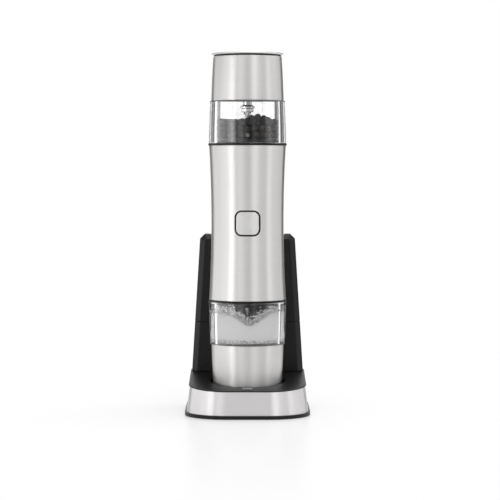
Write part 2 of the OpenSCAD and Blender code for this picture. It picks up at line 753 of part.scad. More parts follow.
pad_r = 2.2;
pad_depth = 1.2;
module contact_insert() color(black_plastic) at_mid() difference() {
    translate([-insert_w / 2, 5, contact_z - mid_z - insert_h / 2]) cube([insert_w, insert_face - 5, insert_h]);
    cylinder(r = frame_r + 0.1, h = body_len, center = true);
    for (x = [-1, 1]) translate([x * pin_x, insert_face - pad_depth, contact_z - mid_z]) rotate([-90, 0, 0])
        cylinder(r = pad_r, h = 3);
}
module contact_pads() color("#d8b45a") at_mid() for (x = [-1, 1])
    translate([x * pin_x, insert_face - pad_depth, contact_z - mid_z]) rotate([-90, 0, 0])
        cylinder(r = pad_r, h = pad_depth + 0.1);

// ---- gear train of one end ----
module idler(side) color("#e4e0d4") half(side) translate([0, centre_distance, 0]) {
    translate([0, 0, axle_foot]) cylinder(r = motor_shaft_r, h = bulkhead_z + axle_seat - axle_foot);
    translate([0, 0, stage_1_z]) gear(wheel_teeth, wheel_w, 180 / wheel_teeth);
    translate([0, 0, stage_1_z + wheel_w - 0.1])
        gear(pinion_teeth, stage_2_z - stage_1_z + 0.3, 180 / pinion_teeth);
}

module output_gear(side) color("#e4e0d4") half(side) difference() {
    union() {
        translate([0, 0, stage_2_z]) gear(wheel_teeth, wheel_w);
        translate([0, 0, stage_2_z + 0.5]) cylinder(r = hub_r, h = bulkhead_z - stage_2_z - 0.7);
    }
    cylinder(r = shaft_r, h = joint_h);
}

hex_af = 2 * shaft_r;
hex_r = hex_af / 2 / cos(30);
// heights inside a head, measured from the chamber's open end
floor_h = chamber_len - 0.4;
arm_h = chamber_len - 8.7;
arm_t = 1.6;
spindle_foot = arm_h + arm_t + 0.2;
hex_len = 12;
shaft_top = spindle_foot + 22;
module drive_shaft(side) color(bright_steel) half(side) {
    translate([0, 0, stage_2_z]) cylinder(r = shaft_r, h = joint_h + shaft_top - hex_len - stage_2_z);
    translate([0, 0, joint_h + shaft_top - hex_len]) cylinder(r = hex_r, h = hex_len, $fn = 6);
}

// ================= grinder heads =================
module chamber(side) color(clear_plastic, 0.35) head(side) rotate_extrude() polygon([
    [chamber_bore_r, 0.02], [chamber_r - 0.3, 0.02], [chamber_r, 0.4],
    [chamber_r - 0.25 * (chamber_r - chamber_head_r), chamber_len * 0.45],
    [chamber_head_r, chamber_len], [chamber_bore_r - 0.4, chamber_len], [chamber_bore_r - 0.4, chamber_len - 1.2],
    [chamber_bore_r, chamber_len * 0.4]]);

head_z0 = chamber_len + flange_t;
head_z1 = head_z0 + head_len;
head_wall = 0.8;
function head_sleeve_r(t) = head_r + (head_end_r - head_r) * (0.55 * t + 0.45 * t * t);
function sleeve_z(t) = head_z0 + 0.02 + (head_len - 0.02) * t;
module head_sleeve(side) color(steel) head(side) {
    steps = 8;
    rotate_extrude() polygon(concat(
        [for (i = [0:steps]) [head_sleeve_r(i / steps), sleeve_z(i / steps)]],
        [for (i = [steps:-1:0]) [head_sleeve_r(i / steps) - head_wall, sleeve_z(i / steps)]]));
}

housing_r = head_end_r - head_wall - 0.15;
housing_bore_r = housing_r - housing_wall;
dial_neck_r = stator_r + 2.2;
dial_z = head_z1 - 8;
dial_t = 4.4;
guide_z = dial_z - touch_gap;
cap_spigot = 3.2;
module grinder_housing(side) color(dark_plastic) head(side) difference() {
    union() {
        translate([0, 0, chamber_len + 0.02]) cylinder(r = chamber_head_r + 0.3, h = flange_t - 0.02);
        translate([0, 0, chamber_len + 0.02]) cylinder(r = housing_r, h = head_len - 0.6);
        translate([0, 0, floor_h]) cylinder(r = chamber_bore_r - 0.4 - seat_gap, h = 1);
    }
    // feed mouth, opening into the burrs
    translate([0, 0, floor_h - 1]) cylinder(r = mouth_r, h = 40);
    translate([0, 0, burr_z0 - 2.5]) cylinder(r = dial_neck_r + run_gap, h = 60);
    // open hollow round the sleeve that guides the dial
    translate([0, 0, floor_h + 3]) difference() {
        cylinder(r = housing_bore_r, h = 60);
        translate([0, 0, -1]) cylinder(r = dial_neck_r + 1.6, h = guide_z - floor_h - 2);
    }
    translate([0, 0, guide_z]) cylinder(r = housing_bore_r, h = 60);
    // pockets for the feet of the bridge
    for (x = [-1, 1]) translate([x * (bridge_r - bridge_leg / 2), 0, floor_h])
        cube([bridge_leg + 0.1, bridge_w + 0.1, 2], center = true);
}

bridge_leg = 2.9;
hub_bore_r = hex_r + 0.35;
module bridge_profile() {
    r = 3;
    inner = bridge_r - bridge_leg;
    difference() {
        union() {
            translate([-bridge_r, arm_h + r]) square([2 * bridge_r, floor_h + 0.95 - arm_h - r]);
            translate([-bridge_r + r, arm_h]) square([2 * (bridge_r - r), r + 0.1]);
            for (x = [-1, 1]) translate([x * (bridge_r - r), arm_h + r]) circle(r = r);
        }
        translate([-inner, arm_h + arm_t]) square([2 * inner, 20]);
    }
}
module bearing_bridge(side) color(clear_plastic, 0.35) head(side) difference() {
    union() {
        translate([0, bridge_w / 2, 0]) rotate([90, 0, 0]) linear_extrude(height = bridge_w) bridge_profile();
        translate([0, 0, arm_h]) cylinder(r = 5.4, h = arm_t);
    }
    translate([0, 0, arm_h - 1]) cylinder(r = hub_bore_r, h = 5);
}

neck_r = 3;
burr_z0 = head_z0 + 6;
burr_len = 16;
socket_r = hex_r + 0.1;
spindle_top = burr_z0 + burr_len + 1.6;
module spindle(side) color(grey_plastic) head(side) difference() {
    rotate_extrude() polygon([
        [0, spindle_foot], [3.6, spindle_foot], [4, spindle_foot + 0.5], [4, spindle_foot + 3],
        [3.3, spindle_foot + 3.2], [3.3, spindle_foot + 3.6], [collar_r - 0.3, spindle_foot + 3.8],
        [collar_r, spindle_foot + 4.4], [collar_r, spindle_foot + 5.2], [neck_r + 0.6, spindle_foot + 6.2],
        [neck_r, spindle_foot + 7], [neck_r, spindle_top], [0, spindle_top]]);
    translate([0, 0, spindle_foot - 1]) cylinder(r = socket_r, h = shaft_top - spindle_foot + 1.3, $fn = 6);
}

stator_bore_r = stator_r - 3;
stator_travel = 0.8;
rotor_out_r = stator_bore_r - burr_gap;
rotor_in_r = 5.2;
module ridge_cuts(r_low, r_high, depth, twist) for (i = [0:burr_teeth - 1])
    rotate(i * 360 / burr_teeth) translate([(r_low + r_high) / 2, 0, burr_z0 + burr_len / 2])
        rotate([twist, atan((r_high - r_low) / burr_len), 0])
            rotate(45) cube([depth, depth, burr_len * 1.6], center = true);
module rotor_burr(side) color("#e9e6df") head(side) difference() {
    translate([0, 0, burr_z0]) cylinder(r1 = rotor_in_r, r2 = rotor_out_r, h = burr_len);
    translate([0, 0, burr_z0 - 1]) cylinder(r = neck_r, h = burr_len + 2);
    ridge_cuts(rotor_in_r + 0.1, rotor_out_r + 0.1, 1, 12);
}
module stator_burr(side) color("#e9e6df") head(side) difference() {
    translate([0, 0, burr_z0]) cylinder(r = stator_r, h = burr_len);
    translate([0, 0, burr_z0 - 0.01]) cylinder(r1 = stator_bore_r + 1.6, r2 = stator_bore_r, h = burr_len + 0.02);
    ridge_cuts(stator_bore_r + 1.5, stator_bore_r - 0.1, 1, -8);
}

knurls = 36;
module adjuster_dial(side) color(black_plastic) head(side) difference() {
    union() {
        translate([0, 0, dial_z]) cylinder(r = housing_bore_r - 0.5, h = dial_t);
        translate([0, 0, burr_z0 - 2.2]) cylinder(r = dial_neck_r, h = dial_z - burr_z0 + 2.7);
    }
    translate([0, 0, burr_z0 - stator_travel - touch_gap]) cylinder(r = stator_r + run_gap, h = 60);
    translate([0, 0, burr_z0 - 3]) cylinder(r = stator_r - 1.2, h = 60);
    for (i = [0:knurls - 1]) rotate(i * 360 / knurls) translate([housing_bore_r - 0.3, 0, dial_z - 1])
        cylinder(r = 0.6, h = dial_t + 2);
}

module cap_plug(side) color(black_plastic) head(side) union() {
    translate([0, 0, head_z1 + 0.02]) cylinder(r = head_end_r - 0.5, h = cap_seal_t - 0.02);
    tube(housing_bore_r - slide_gap, housing_bore_r - slide_gap - 1.2, cap_spigot + 0.3, head_z1 - cap_spigot);
}
module cap_disc(side) color(bright_steel) head(side) translate([0, 0, head_z1 + cap_seal_t])
    rotate_extrude() polygon([[0, 0], [cap_r - 1.4, 0], [cap_r - 0.2, 0.5], [cap_r, 0.9], [cap_r - 0.2, cap_t - 0.3],
        [cap_r - 1, cap_t], [0, cap_t]]);

// ---- what the chambers hold ----
fill_gap = 0.45;
fill_r = chamber_bore_r - 0.4 - fill_gap;
fill_bore_r = hex_r + fill_gap;
bridge_room_r = norm([bridge_r, bridge_w / 2]) + fill_gap;
module peppercorn_fill() color("#2b2622") head(1) rotate_extrude() polygon([
    [4 + fill_gap, spigot_h + fill_gap], [fill_r, spigot_h + fill_gap], [fill_r, arm_h - 4.5],
    [bridge_r, arm_h - 2.2], [6, arm_h - 1], [fill_bore_r, arm_h - 1], [fill_bore_r, spigot_h + fill_gap + 1]]);
module salt_fill() color("#f1f0ee") head(-1) rotate_extrude() polygon([
    [fill_bore_r, arm_h - 3.2], [fill_r, 8], [fill_r, floor_h - touch_gap], [bridge_room_r, floor_h - touch_gap],
    [bridge_room_r, arm_h - touch_gap], [fill_bore_r, arm_h - touch_gap]]);

base_shell();
base_trim();
base_plate();
base_feet();
stand_screws();
well_pad();
back_lower();
back_upper();
back_cover();
contact_carrier();
contact_pins();
contact_spring();
charge_board();
dc_socket();
indicator_lens();
body_sleeve();
motor_frame();
gearbox(1);  // upper_gearbox
gearbox(-1);  // lower_gearbox
gear_plate(1);  // upper_gear_plate
gear_plate(-1);  // lower_gear_plate
motor_can();
motor_rotor();
motor_shaft();
battery_cells();
control_board();
power_button();
button_bezel();
contact_insert();
contact_pads();
idler(1);  // upper_idler
idler(-1);  // lower_idler
output_gear(1);  // upper_output_gear
output_gear(-1);  // lower_output_gear
drive_shaft(1);  // upper_drive_shaft
drive_shaft(-1);  // lower_drive_shaft
o_ring(1);  // upper_o_ring
o_ring(-1);  // lower_o_ring
chamber(1);  // upper_chamber
chamber(-1);  // lower_chamber
head_sleeve(1);  // upper_head_sleeve
head_sleeve(-1);  // lower_head_sleeve
grinder_housing(1);  // upper_grinder_housing
grinder_housing(-1);  // lower_grinder_housing
bearing_bridge(1);  // upper_bearing_bridge
bearing_bridge(-1);  // lower_bearing_bridge
spindle(1);  // upper_spindle
spindle(-1);  // lower_spindle
rotor_burr(1);  // upper_rotor_burr
rotor_burr(-1);  // lower_rotor_burr
stator_burr(1);  // upper_stator_burr
stator_burr(-1);  // lower_stator_burr
adjuster_dial(1);  // upper_adjuster_dial
adjuster_dial(-1);  // lower_adjuster_dial
cap_plug(1);  // upper_cap_plug
cap_plug(-1);  // lower_cap_plug
cap_disc(1);  // upper_cap_disc
cap_disc(-1);  // lower_cap_disc
peppercorn_fill();
salt_fill();
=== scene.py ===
"""Fine shapes and finishes of a rechargeable salt and pepper mill that stands in its charging stand.

The file is laid out as an add-on. Each operator makes one piece, or one group of like pieces, round the
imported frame.
"""

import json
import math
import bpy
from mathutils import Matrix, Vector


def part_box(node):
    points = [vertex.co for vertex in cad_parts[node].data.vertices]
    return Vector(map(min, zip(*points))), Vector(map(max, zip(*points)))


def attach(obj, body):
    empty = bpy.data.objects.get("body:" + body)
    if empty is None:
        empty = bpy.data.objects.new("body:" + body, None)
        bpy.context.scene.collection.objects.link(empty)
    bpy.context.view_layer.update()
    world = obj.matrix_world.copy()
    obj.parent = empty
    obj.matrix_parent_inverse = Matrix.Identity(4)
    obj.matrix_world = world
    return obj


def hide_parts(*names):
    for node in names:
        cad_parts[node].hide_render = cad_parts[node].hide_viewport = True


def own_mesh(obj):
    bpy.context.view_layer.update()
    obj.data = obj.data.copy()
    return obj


bl_info = {
    "name": "Salt and pepper mill",
    "version": (1, 0, 0),
    "blender": (4, 5, 0),
    "location": "View3D > Sidebar > Mill",
    "description": "Makes the visible pieces and finishes of a rechargeable salt and pepper mill",
    "category": "Object",
}

import bmesh
import bpy
import numpy as np
from mathutils import Euler, Matrix, Vector, noise

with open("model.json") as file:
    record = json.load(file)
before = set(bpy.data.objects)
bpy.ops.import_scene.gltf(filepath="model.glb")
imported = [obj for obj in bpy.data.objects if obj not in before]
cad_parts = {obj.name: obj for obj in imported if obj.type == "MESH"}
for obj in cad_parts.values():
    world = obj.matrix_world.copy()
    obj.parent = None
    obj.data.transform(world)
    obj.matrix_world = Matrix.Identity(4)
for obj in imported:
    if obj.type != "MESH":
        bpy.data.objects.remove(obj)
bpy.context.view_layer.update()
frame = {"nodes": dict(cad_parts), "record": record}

MM = 0.001
TURN = 2 * math.pi
ENDS = (("upper", 1), ("lower", -1))
WHITE = (1.0, 1.0, 1.0, 1.0)
BLACK = (0.0, 0.0, 0.0, 1.0)

# ---------------------------------------------------------------- places taken from the frame


def low(node):
    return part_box(node)[0]


def high(node):
    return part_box(node)[1]


def half_width(node):
    return (high(node).x - low(node).x) / 2


def foot_of(node):
    """Level of a node's lower side above the mill's middle."""
    return low(node).z - MID_Z


def height_of(node):
    return high(node).z - low(node).z


MILL_Y = (low("body_sleeve").y + high("body_sleeve").y) / 2
MID_Z = (low("body_sleeve").z + high("body_sleeve").z) / 2
BODY_HALF = high("body_sleeve").z - MID_Z
BODY_END_R = half_width("body_sleeve")
WAIST_R = MILL_Y - low("power_button").y
CHAMBER_FOOT = foot_of("upper_chamber")
CHAMBER_LEN = height_of("upper_chamber")
CHAMBER_R = half_width("upper_chamber")
RING_STEP = 0.3 * MM        # how far the dark ring of a head stands out past its chamber
CHAMBER_HEAD_R = half_width("upper_grinder_housing") - RING_STEP
HEAD_FOOT = foot_of("upper_head_sleeve")
HEAD_LEN = height_of("upper_head_sleeve")
HEAD_R = half_width("upper_head_sleeve")
CAP_R = half_width("upper_cap_disc")
CAP_FOOT = foot_of("upper_cap_disc")
CAP_T = height_of("upper_cap_disc")
SHAFT_R = half_width("upper_drive_shaft")
ARM_H = foot_of("upper_bearing_bridge") - CHAMBER_FOOT
BRIDGE_R = half_width("upper_bearing_bridge")
FILL_FOOT = high("upper_gearbox").z - MID_Z - CHAMBER_FOOT

FOOT_HALF = half_width("base_plate")
FOOT_FRONT = low("base_plate").y
FOOT_BACK = high("base_plate").y
BAND_FOOT = low("base_trim").z
BAND_HALF = half_width("base_trim")
BAND_END = high("base_trim").y
WELL_FLOOR = low("well_pad").z
PAD_PLAY = 0.3 * MM
WELL_R = half_width("well_pad") + PAD_PLAY
REST_FRONT = low("back_lower").y
COVER_PLAY = 0.1 * MM
REST_BACK = low("back_cover").y - COVER_PLAY
REST_TOP = high("back_upper").z
SEAM_Z = (high("back_lower").z + low("back_upper").z) / 2


def at_end(side, height):
    """Height in the frame of a level above the mill's middle, for the upper (1) or lower (-1) end."""
    return MID_Z + side * height


def on_axis(side, height):
    return 0, MILL_Y, at_end(side, height)


# ---------------------------------------------------------------- settings


def length_setting(name, text, millimetres):
    return bpy.props.FloatProperty(
        name=name, description=text, default=millimetres * MM, min=0.0,
        subtype="DISTANCE", unit="LENGTH", precision=5,
    )


def angle_setting(name, text, degrees):
    return bpy.props.FloatProperty(
        name=name, description=text, default=math.radians(degrees), subtype="ANGLE", unit="ROTATION"
    )


def colour_setting(name, text, rgb):
    return bpy.props.FloatVectorProperty(
        name=name, description=text, default=rgb, size=3, min=0.0, max=1.0, subtype="COLOR"
    )


def share_setting(name, text, value):
    return bpy.props.FloatProperty(
        name=name, description=text, default=value, min=0.0, max=1.0, subtype="FACTOR"
    )


def count_setting(name, text, value):
    return bpy.props.IntProperty(name=name, description=text, default=value, min=0)


class MillSizes(bpy.types.PropertyGroup):
    front_corner: length_setting("Front corners", "Radius of the stand's front corners", 28.0)
    rear_corner: length_setting("Rear corners", "Radius of the stand's rear corners", 11.0)
    band_lean: length_setting("Band lean", "How far the steel band leans in", 1.9)
    band_wall: length_setting("Band wall", "Thickness of the steel band", 0.7)
    lip_step: length_setting("Lip step", "How far the dark lip stands out over the band", 0.4)
    lip_height: length_setting("Lip height", "Height of the dark lip above the band", 0.7)
    top_front: length_setting("Top front", "Height of the stand's top at its front edge", 18.5)
    top_slope: angle_setting("Top slope", "Slope of the stand's top, rising to the back", 5.0)
    lip_round: length_setting("Lip round", "Rounding of the stand's upper edge", 0.55)
    well_round: length_setting("Well round", "Rounding of the rim of the well", 0.7)
    shell_wall: length_setting("Shell wall", "Wall of the mouldings of the stand", 2.0)
    rest_bevel: length_setting("Rest bevel", "Width of the bevel along the back rest", 3.4)
    rest_corner: length_setting("Rest corner", "Size of the cut at each upper corner of the back rest", 3.2)
    rest_soft: length_setting("Rest soft edge", "Small rounding of the back rest's edges", 0.4)
    saddle_half: length_setting("Saddle half width", "Half width of the dip in the back rest", 26.5)
    saddle_round: length_setting("Saddle round", "Rounding of the shoulders of the dip", 4.0)
    saddle_depth: length_setting("Saddle depth", "Depth of the dip in the back rest", 8.0)
    body_wall: length_setting("Body wall", "Thickness of the steel sleeves", 0.8)
    steel_edge: length_setting("Steel edge", "Rounding of the ends of the steel sleeves", 0.25)
    head_taper: length_setting("Head taper", "How much a head narrows to its cap", 1.35)
    chamber_bore: length_setting("Chamber bore", "Inner radius of a clear chamber", 20.8)
    bore_taper: length_setting("Bore taper", "How much the bore narrows to the head", 0.4)
    button_width: length_setting("Button", "Width and height of the push button", 15.0)
    button_corner: length_setting("Button corner", "Corner radius of the push button", 3.7)
    button_frame: length_setting("Button frame", "Width of the dark frame round the button", 0.9)
    button_gap: length_setting("Button gap", "Gap between the button and its frame", 0.1)
    button_edge: length_setting("Button edge", "Rounding of the button's edge", 0.45)
    corn_size: length_setting("Peppercorn", "Mean diameter of a peppercorn", 4.6)
    corn_count: count_setting("Peppercorns", "How many peppercorns the chamber holds", 212)
    grain_size: length_setting("Salt grain", "Mean width of a salt crystal", 0.85)
    grain_count: count_setting("Salt grains", "How many loose crystals show in the salt", 5200)


class MillColours(bpy.types.PropertyGroup):
    steel: colour_setting("Steel", "Brushed stainless steel", (0.66, 0.648, 0.64))
    # lighter and pinker than the body's steel; the extra lightness is a painted highlight on the band
    band: colour_setting("Band steel", "Brushed steel of the stand's band", (0.72, 0.70, 0.705))
    satin: colour_setting("Satin steel", "Satin steel of caps and button", (0.70, 0.695, 0.68))
    moulding: colour_setting("Moulding", "Dark plastic of the stand", (0.0050, 0.0048, 0.0052))
    inner: colour_setting("Inner plastic", "Grey plastic inside the mill", (0.10, 0.10, 0.105))
    steel_rough: share_setting("Steel roughness", "Roughness of the brushed steel", 0.35)
    moulding_rough: share_setting("Moulding roughness", "Roughness of the dark plastic", 0.40)


def sizes():
    return bpy.context.scene.mill_sizes


def colours():
    return bpy.context.scene.mill_colours


# ---------------------------------------------------------------- shader sums


class Wire:
    """A shader socket that can stand in a Python sum. Each sum adds its Math node."""

    def __init__(self, finish, socket):
        self.finish = finish
        self.socket = socket

    def sum(self, operation, *values):
        return self.finish.node("ShaderNodeMath", {"operation": operation}, dict(enumerate(values))).out()

    def __add__(self, other):
        return self.sum("ADD", self, other)

    def __sub__(self, other):
        return self.sum("SUBTRACT", self, other)

    def __rsub__(self, other):
        return self.sum("SUBTRACT", other, self)

    def __mul__(self, other):
        return self.sum("MULTIPLY", self, other)

    def __truediv__(self, other):
        return self.sum("DIVIDE", self, other)

    def __gt__(self, other):
        return self.sum("GREATER_THAN", self, other)

    def __lt__(self, other):
        return self.sum("LESS_THAN", self, other)

    __radd__ = __add__
    __rmul__ = __mul__

    def root(self):
        return self.sum("SQRT", self)

    def angle_to(self, other):
        return self.sum("ARCTAN2", self, other)

    def size(self):
        return self.sum("ABSOLUTE", self)


class Placed:
    """A node that has been set up, with a short way to its outputs."""

    def __init__(self, finish, node):
        self.finish = finish
        self.node = node

    def out(self, name=0):
        return Wire(self.finish, self.node.outputs[name])


class Finish:
    """A material or a world that is being built."""

    def __init__(self, owner):
        owner.use_nodes = True
        self.owner = owner
        self.tree = owner.node_tree
        self.tree.nodes.clear()

    def node(self, kind, settings=None, inputs=None):
        made = self.tree.nodes.new(kind)
        for key, value in (settings or {}).items():
            if key == "stops":
                self.set_stops(made.color_ramp, value)
            else:
                setattr(made, key, value)
        for key, value in (inputs or {}).items():
            self.join(value, made.inputs[key])
        return Placed(self, made)

    def set_stops(self, ramp, stops):
        ramp.interpolation = "EASE"
        ramp.elements.remove(ramp.elements[1])
        ramp.elements[0].position, ramp.elements[0].color = stops[0]
        for place, colour in stops[1:]:
            ramp.elements.new(place).color = colour

    def join(self, value, socket):
        if isinstance(value, Wire):
            self.tree.links.new(value.socket, socket)
        else:
            socket.default_value = value

    def place(self, centre=(0.0, 0.0, 0.0), scale=(1.0, 1.0, 1.0)):
        """Object coordinates measured from a centre and stretched by scale."""
        whole = self.node("ShaderNodeTexCoord").out("Object")
        moved = self.node("ShaderNodeVectorMath", {"operation": "SUBTRACT"}, {0: whole, 1: centre}).out()
        return self.node("ShaderNodeVectorMath", {"operation": "MULTIPLY"}, {0: moved, 1: scale}).out()

    def axes(self, vector):
        split = self.node("ShaderNodeSeparateXYZ", None, {0: vector})
        return split.out("X"), split.out("Y"), split.out("Z")

    def noise(self, vector, scale=1.0, detail=2.0, rough=0.5):
        inputs = {"Vector": vector, "Scale": scale, "Detail": detail, "Roughness": rough}
        return self.node("ShaderNodeTexNoise", None, inputs).out("Fac")

    def cells(self, vector, scale=1.0):
        return self.node("ShaderNodeTexVoronoi", None, {"Vector": vector, "Scale": scale}).out("Distance")

    def blend(self, share, first, second):
        """Colour between first and second."""
        made = self.node("ShaderNodeMix", {"data_type": "RGBA"}, {0: share})
        self.join(first, made.node.inputs[6])
        self.join(second, made.node.inputs[7])
        return made.out(2)

    def shades(self, share, colour, first, second):
        """A colour at brightnesses between first and second."""
        ends = ((*(channel * brightness for channel in colour), 1.0) for brightness in (first, second))
        return self.blend(share, *ends)

    def fade(self, value, start, stop, first=0.0, last=1.0):
        """A smooth change from first to last, while value goes from start to stop."""
        span = {"Value": value, "From Min": start, "From Max": stop, "To Min": first, "To Max": last}
        return self.node("ShaderNodeMapRange", {"interpolation_type": "SMOOTHSTEP"}, span).out()

    def ramp(self, value, stops):
        return self.node("ShaderNodeValToRGB", {"stops": stops}, {0: value}).out("Color")

    def bump(self, height, strength, depth):
        inputs = {"Strength": strength, "Distance": depth, "Height": height}
        return self.node("ShaderNodeBump", None, inputs).out()

    def principled(self, **inputs):
        names = {key.replace("_", " "): value for key, value in inputs.items()}
        return self.node("ShaderNodeBsdfPrincipled", None, names).out()

    def either(self, share, first, second):
        """Shader between first and second."""
        return self.node("ShaderNodeMixShader", None, {0: share, 1: first, 2: second}).out()

    def surface(self, **inputs):
        return self.finish_with(self.principled(**inputs))

    def finish_with(self, shader):
        """Joins the shader to the output, and hands back the material or world."""
        kind = "World" if isinstance(self.owner, bpy.types.World) else "Material"
        self.node(f"ShaderNodeOutput{kind}", None, {0: shader})
        return self.owner


def new_finish(name):
    return Finish(bpy.data.materials.new(name))


# ---------------------------------------------------------------- finishes

MILL_AXIS = (0.0, MILL_Y, 0.0)


def brushed_steel(name, colour, rough):
    """Steel brushed round the mill: fine streaks that run level, with slow cloudiness."""
    finish = new_finish(name)
    streak = finish.noise(finish.place(MILL_AXIS, (22.0, 22.0, 3200.0)), 1.0, 3.0, 0.6)
    hair = finish.noise(finish.place(MILL_AXIS, (60.0, 60.0, 9000.0)), 1.0, 1.0, 0.5)
    cloud = finish.noise(finish.place(MILL_AXIS), 45.0)
    uneven = streak * 0.55 + hair * 0.3 + cloud * 0.15
    return finish.surface(
        Base_Color=finish.shades(uneven, colour, 0.90, 1.10),
        Metallic=1.0,
        Roughness=streak * 0.08 + cloud * 0.05 + (rough - 0.06),
        Anisotropic=0.78,
        Anisotropic_Rotation=0.25,
        Normal=finish.bump(streak * 0.6 + hair * 0.4, 0.10, 0.00004),
    )


def turned_steel(name, colour, rough):
    """Satin steel with faint rings round the mill's axis on level faces."""
    finish = new_finish(name)
    x, y, z = finish.axes(finish.place(MILL_AXIS))
    radius = (x * x + y * y).root()
    rings = {"X": radius * 2600.0, "Y": x.angle_to(y) * 1.5, "Z": z * 2600.0}
    ring = finish.noise(finish.node("ShaderNodeCombineXYZ", None, rings).out(), 1.0, 2.0, 0.6)
    cloud = finish.noise(finish.place(MILL_AXIS), 60.0)
    return finish.surface(
        Base_Color=finish.shades(ring * 0.7 + cloud * 0.3, colour, 0.93, 1.07),
        Metallic=1.0,
        Roughness=ring * 0.08 + cloud * 0.06 + (rough - 0.07),
        Normal=finish.bump(ring, 0.06, 0.00003),
    )


def moulded_plastic(name, colour, rough, grain=1500.0, depth=0.00003, shine=0.3):
    """Moulded plastic with a fine spark-eroded grain and slight changes of gloss."""
    finish = new_finish(name)
    pits = finish.cells(finish.place(), grain)
    fine = finish.noise(finish.place(), grain * 1.7, 2.0, 0.6)
    cloud = finish.noise(finish.place(), 70.0, 3.0, 0.55)
    return finish.surface(
        Base_Color=finish.shades(cloud * 0.6 + fine * 0.4, colour, 0.82, 1.2),
        Roughness=cloud * 0.08 + fine * 0.06 + (rough - 0.07),
        Specular_IOR_Level=shine,
        Normal=finish.bump(pits * 0.6 + fine * 0.4, 0.22, depth),
    )


def clear_plastic(name, tint, rough):
    """Thick clear plastic with a trace of moulding flow and very fine handling marks."""
    finish = new_finish(name)
    flow = finish.noise(finish.place(MILL_AXIS, (30.0, 30.0, 90.0)), 1.0, 1.0, 0.4)
    marks = finish.noise(finish.place(MILL_AXIS, (900.0, 900.0, 300.0)), 1.0, 2.0, 0.7)
    solid = finish.principled(
        Base_Color=finish.shades(marks, tint, 0.985, 1.0),
        Transmission_Weight=1.0,
        IOR=1.49,
        Roughness=marks * 0.02 + rough,
        Normal=finish.bump(flow, 0.02, 0.0002),
    )
    in_shadow = finish.node("ShaderNodeLightPath").out("Is Shadow Ray")
    lets_light_in = finish.node("ShaderNodeBsdfTransparent", None, {"Color": WHITE}).out()
    return finish.finish_with(finish.either(in_shadow, solid, lets_light_in))


def soft_rubber(name, colour):
    """Dusty rubber of the feet and the pad."""
    finish = new_finish(name)
    specks = finish.noise(finish.place(), 2600.0, 3.0, 0.7)
    dust = finish.noise(finish.place(), 180.0, 3.0, 0.6)
    return finish.surface(
        Base_Color=finish.shades(dust, colour, 0.8, 1.5),
        Roughness=specks * 0.1 + 0.72,
        Specular_IOR_Level=0.25,
        Normal=finish.bump(specks, 0.3, 0.00004),
    )


def drawn_metal(name, colour, rough):
    """Drawn or plated metal of shafts, screws, springs and contacts."""
    finish = new_finish(name)
    lines = finish.noise(finish.place(scale=(2400.0, 2400.0, 90.0)), 1.0, 2.0, 0.6)
    stain = finish.noise(finish.place(), 320.0, 3.0, 0.6)
    return finish.surface(
        Base_Color=finish.shades(stain, colour, 0.85, 1.1),
        Metallic=1.0,
        Roughness=lines * 0.10 + stain * 0.08 + (rough - 0.08),
        Normal=finish.bump(lines, 0.1, 0.00003),
    )


def fired_ceramic(name, colour):
    """Gritty fired ceramic of the burrs."""
    finish = new_finish(name)
    grit = finish.noise(finish.place(), 3200.0, 3.0, 0.7)
    cloud = finish.noise(finish.place(), 260.0)
    return finish.surface(
        Base_Color=finish.shades(cloud * 0.6 + grit * 0.4, colour, 0.88, 1.05),
        Roughness=grit * 0.15 + 0.5,
        Normal=finish.bump(grit, 0.35, 0.00005),
    )


def circuit_lacquer(name, colour):
    """Green lacquer over copper tracks."""
    finish = new_finish(name)
    grid = {"Vector": finish.place(), "Scale": 260.0, "Mortar Size": 0.05}
    grid.update({"Color1": BLACK, "Color2": BLACK, "Mortar": WHITE})
    tracks = finish.node("ShaderNodeTexBrick", {"offset": 0.35}, grid).out("Fac")
    weave = finish.noise(finish.place(), 1800.0)
    return finish.surface(
        Base_Color=finish.shades(tracks, colour, 1.0, 1.9),
        Roughness=weave * 0.12 + 0.28,
        Normal=finish.bump(tracks, 0.2, 0.00005),
    )


def wound_copper(name, colour):
    """Enamelled wire wound in level turns round the rotor."""
    finish = new_finish(name)
    turns = {"Vector": finish.place(MILL_AXIS), "Scale": 420.0, "Distortion": 0.4, "Detail": 1.0}
    wires = finish.node("ShaderNodeTexWave", {"bands_direction": "Z"}, turns).out("Fac")
    return finish.surface(
        Base_Color=finish.shades(wires, colour, 0.45, 1.15),
        Metallic=0.85,
        Roughness=0.42 - wires * 0.12,
        Normal=finish.bump(wires, 0.6, 0.0002),
    )


def cell_wrap(name, colour):
    """Shrink sleeve of a battery cell, with a plain lighter band."""
    band_low, band_high = 12 * MM, 15 * MM
    finish = new_finish(name)
    z = finish.axes(finish.place((0.0, 0.0, MID_Z)))[2]
    band = (z > band_low) * (z < band_high)
    creases = finish.noise(finish.place(scale=(500.0, 500.0, 120.0)), 1.0, 3.0, 0.6)
    return finish.surface(
        Base_Color=finish.shades(band, colour, 1.0, 2.6),
        Roughness=creases * 0.15 + 0.22,
        Normal=finish.bump(creases, 0.15, 0.0001),
    )


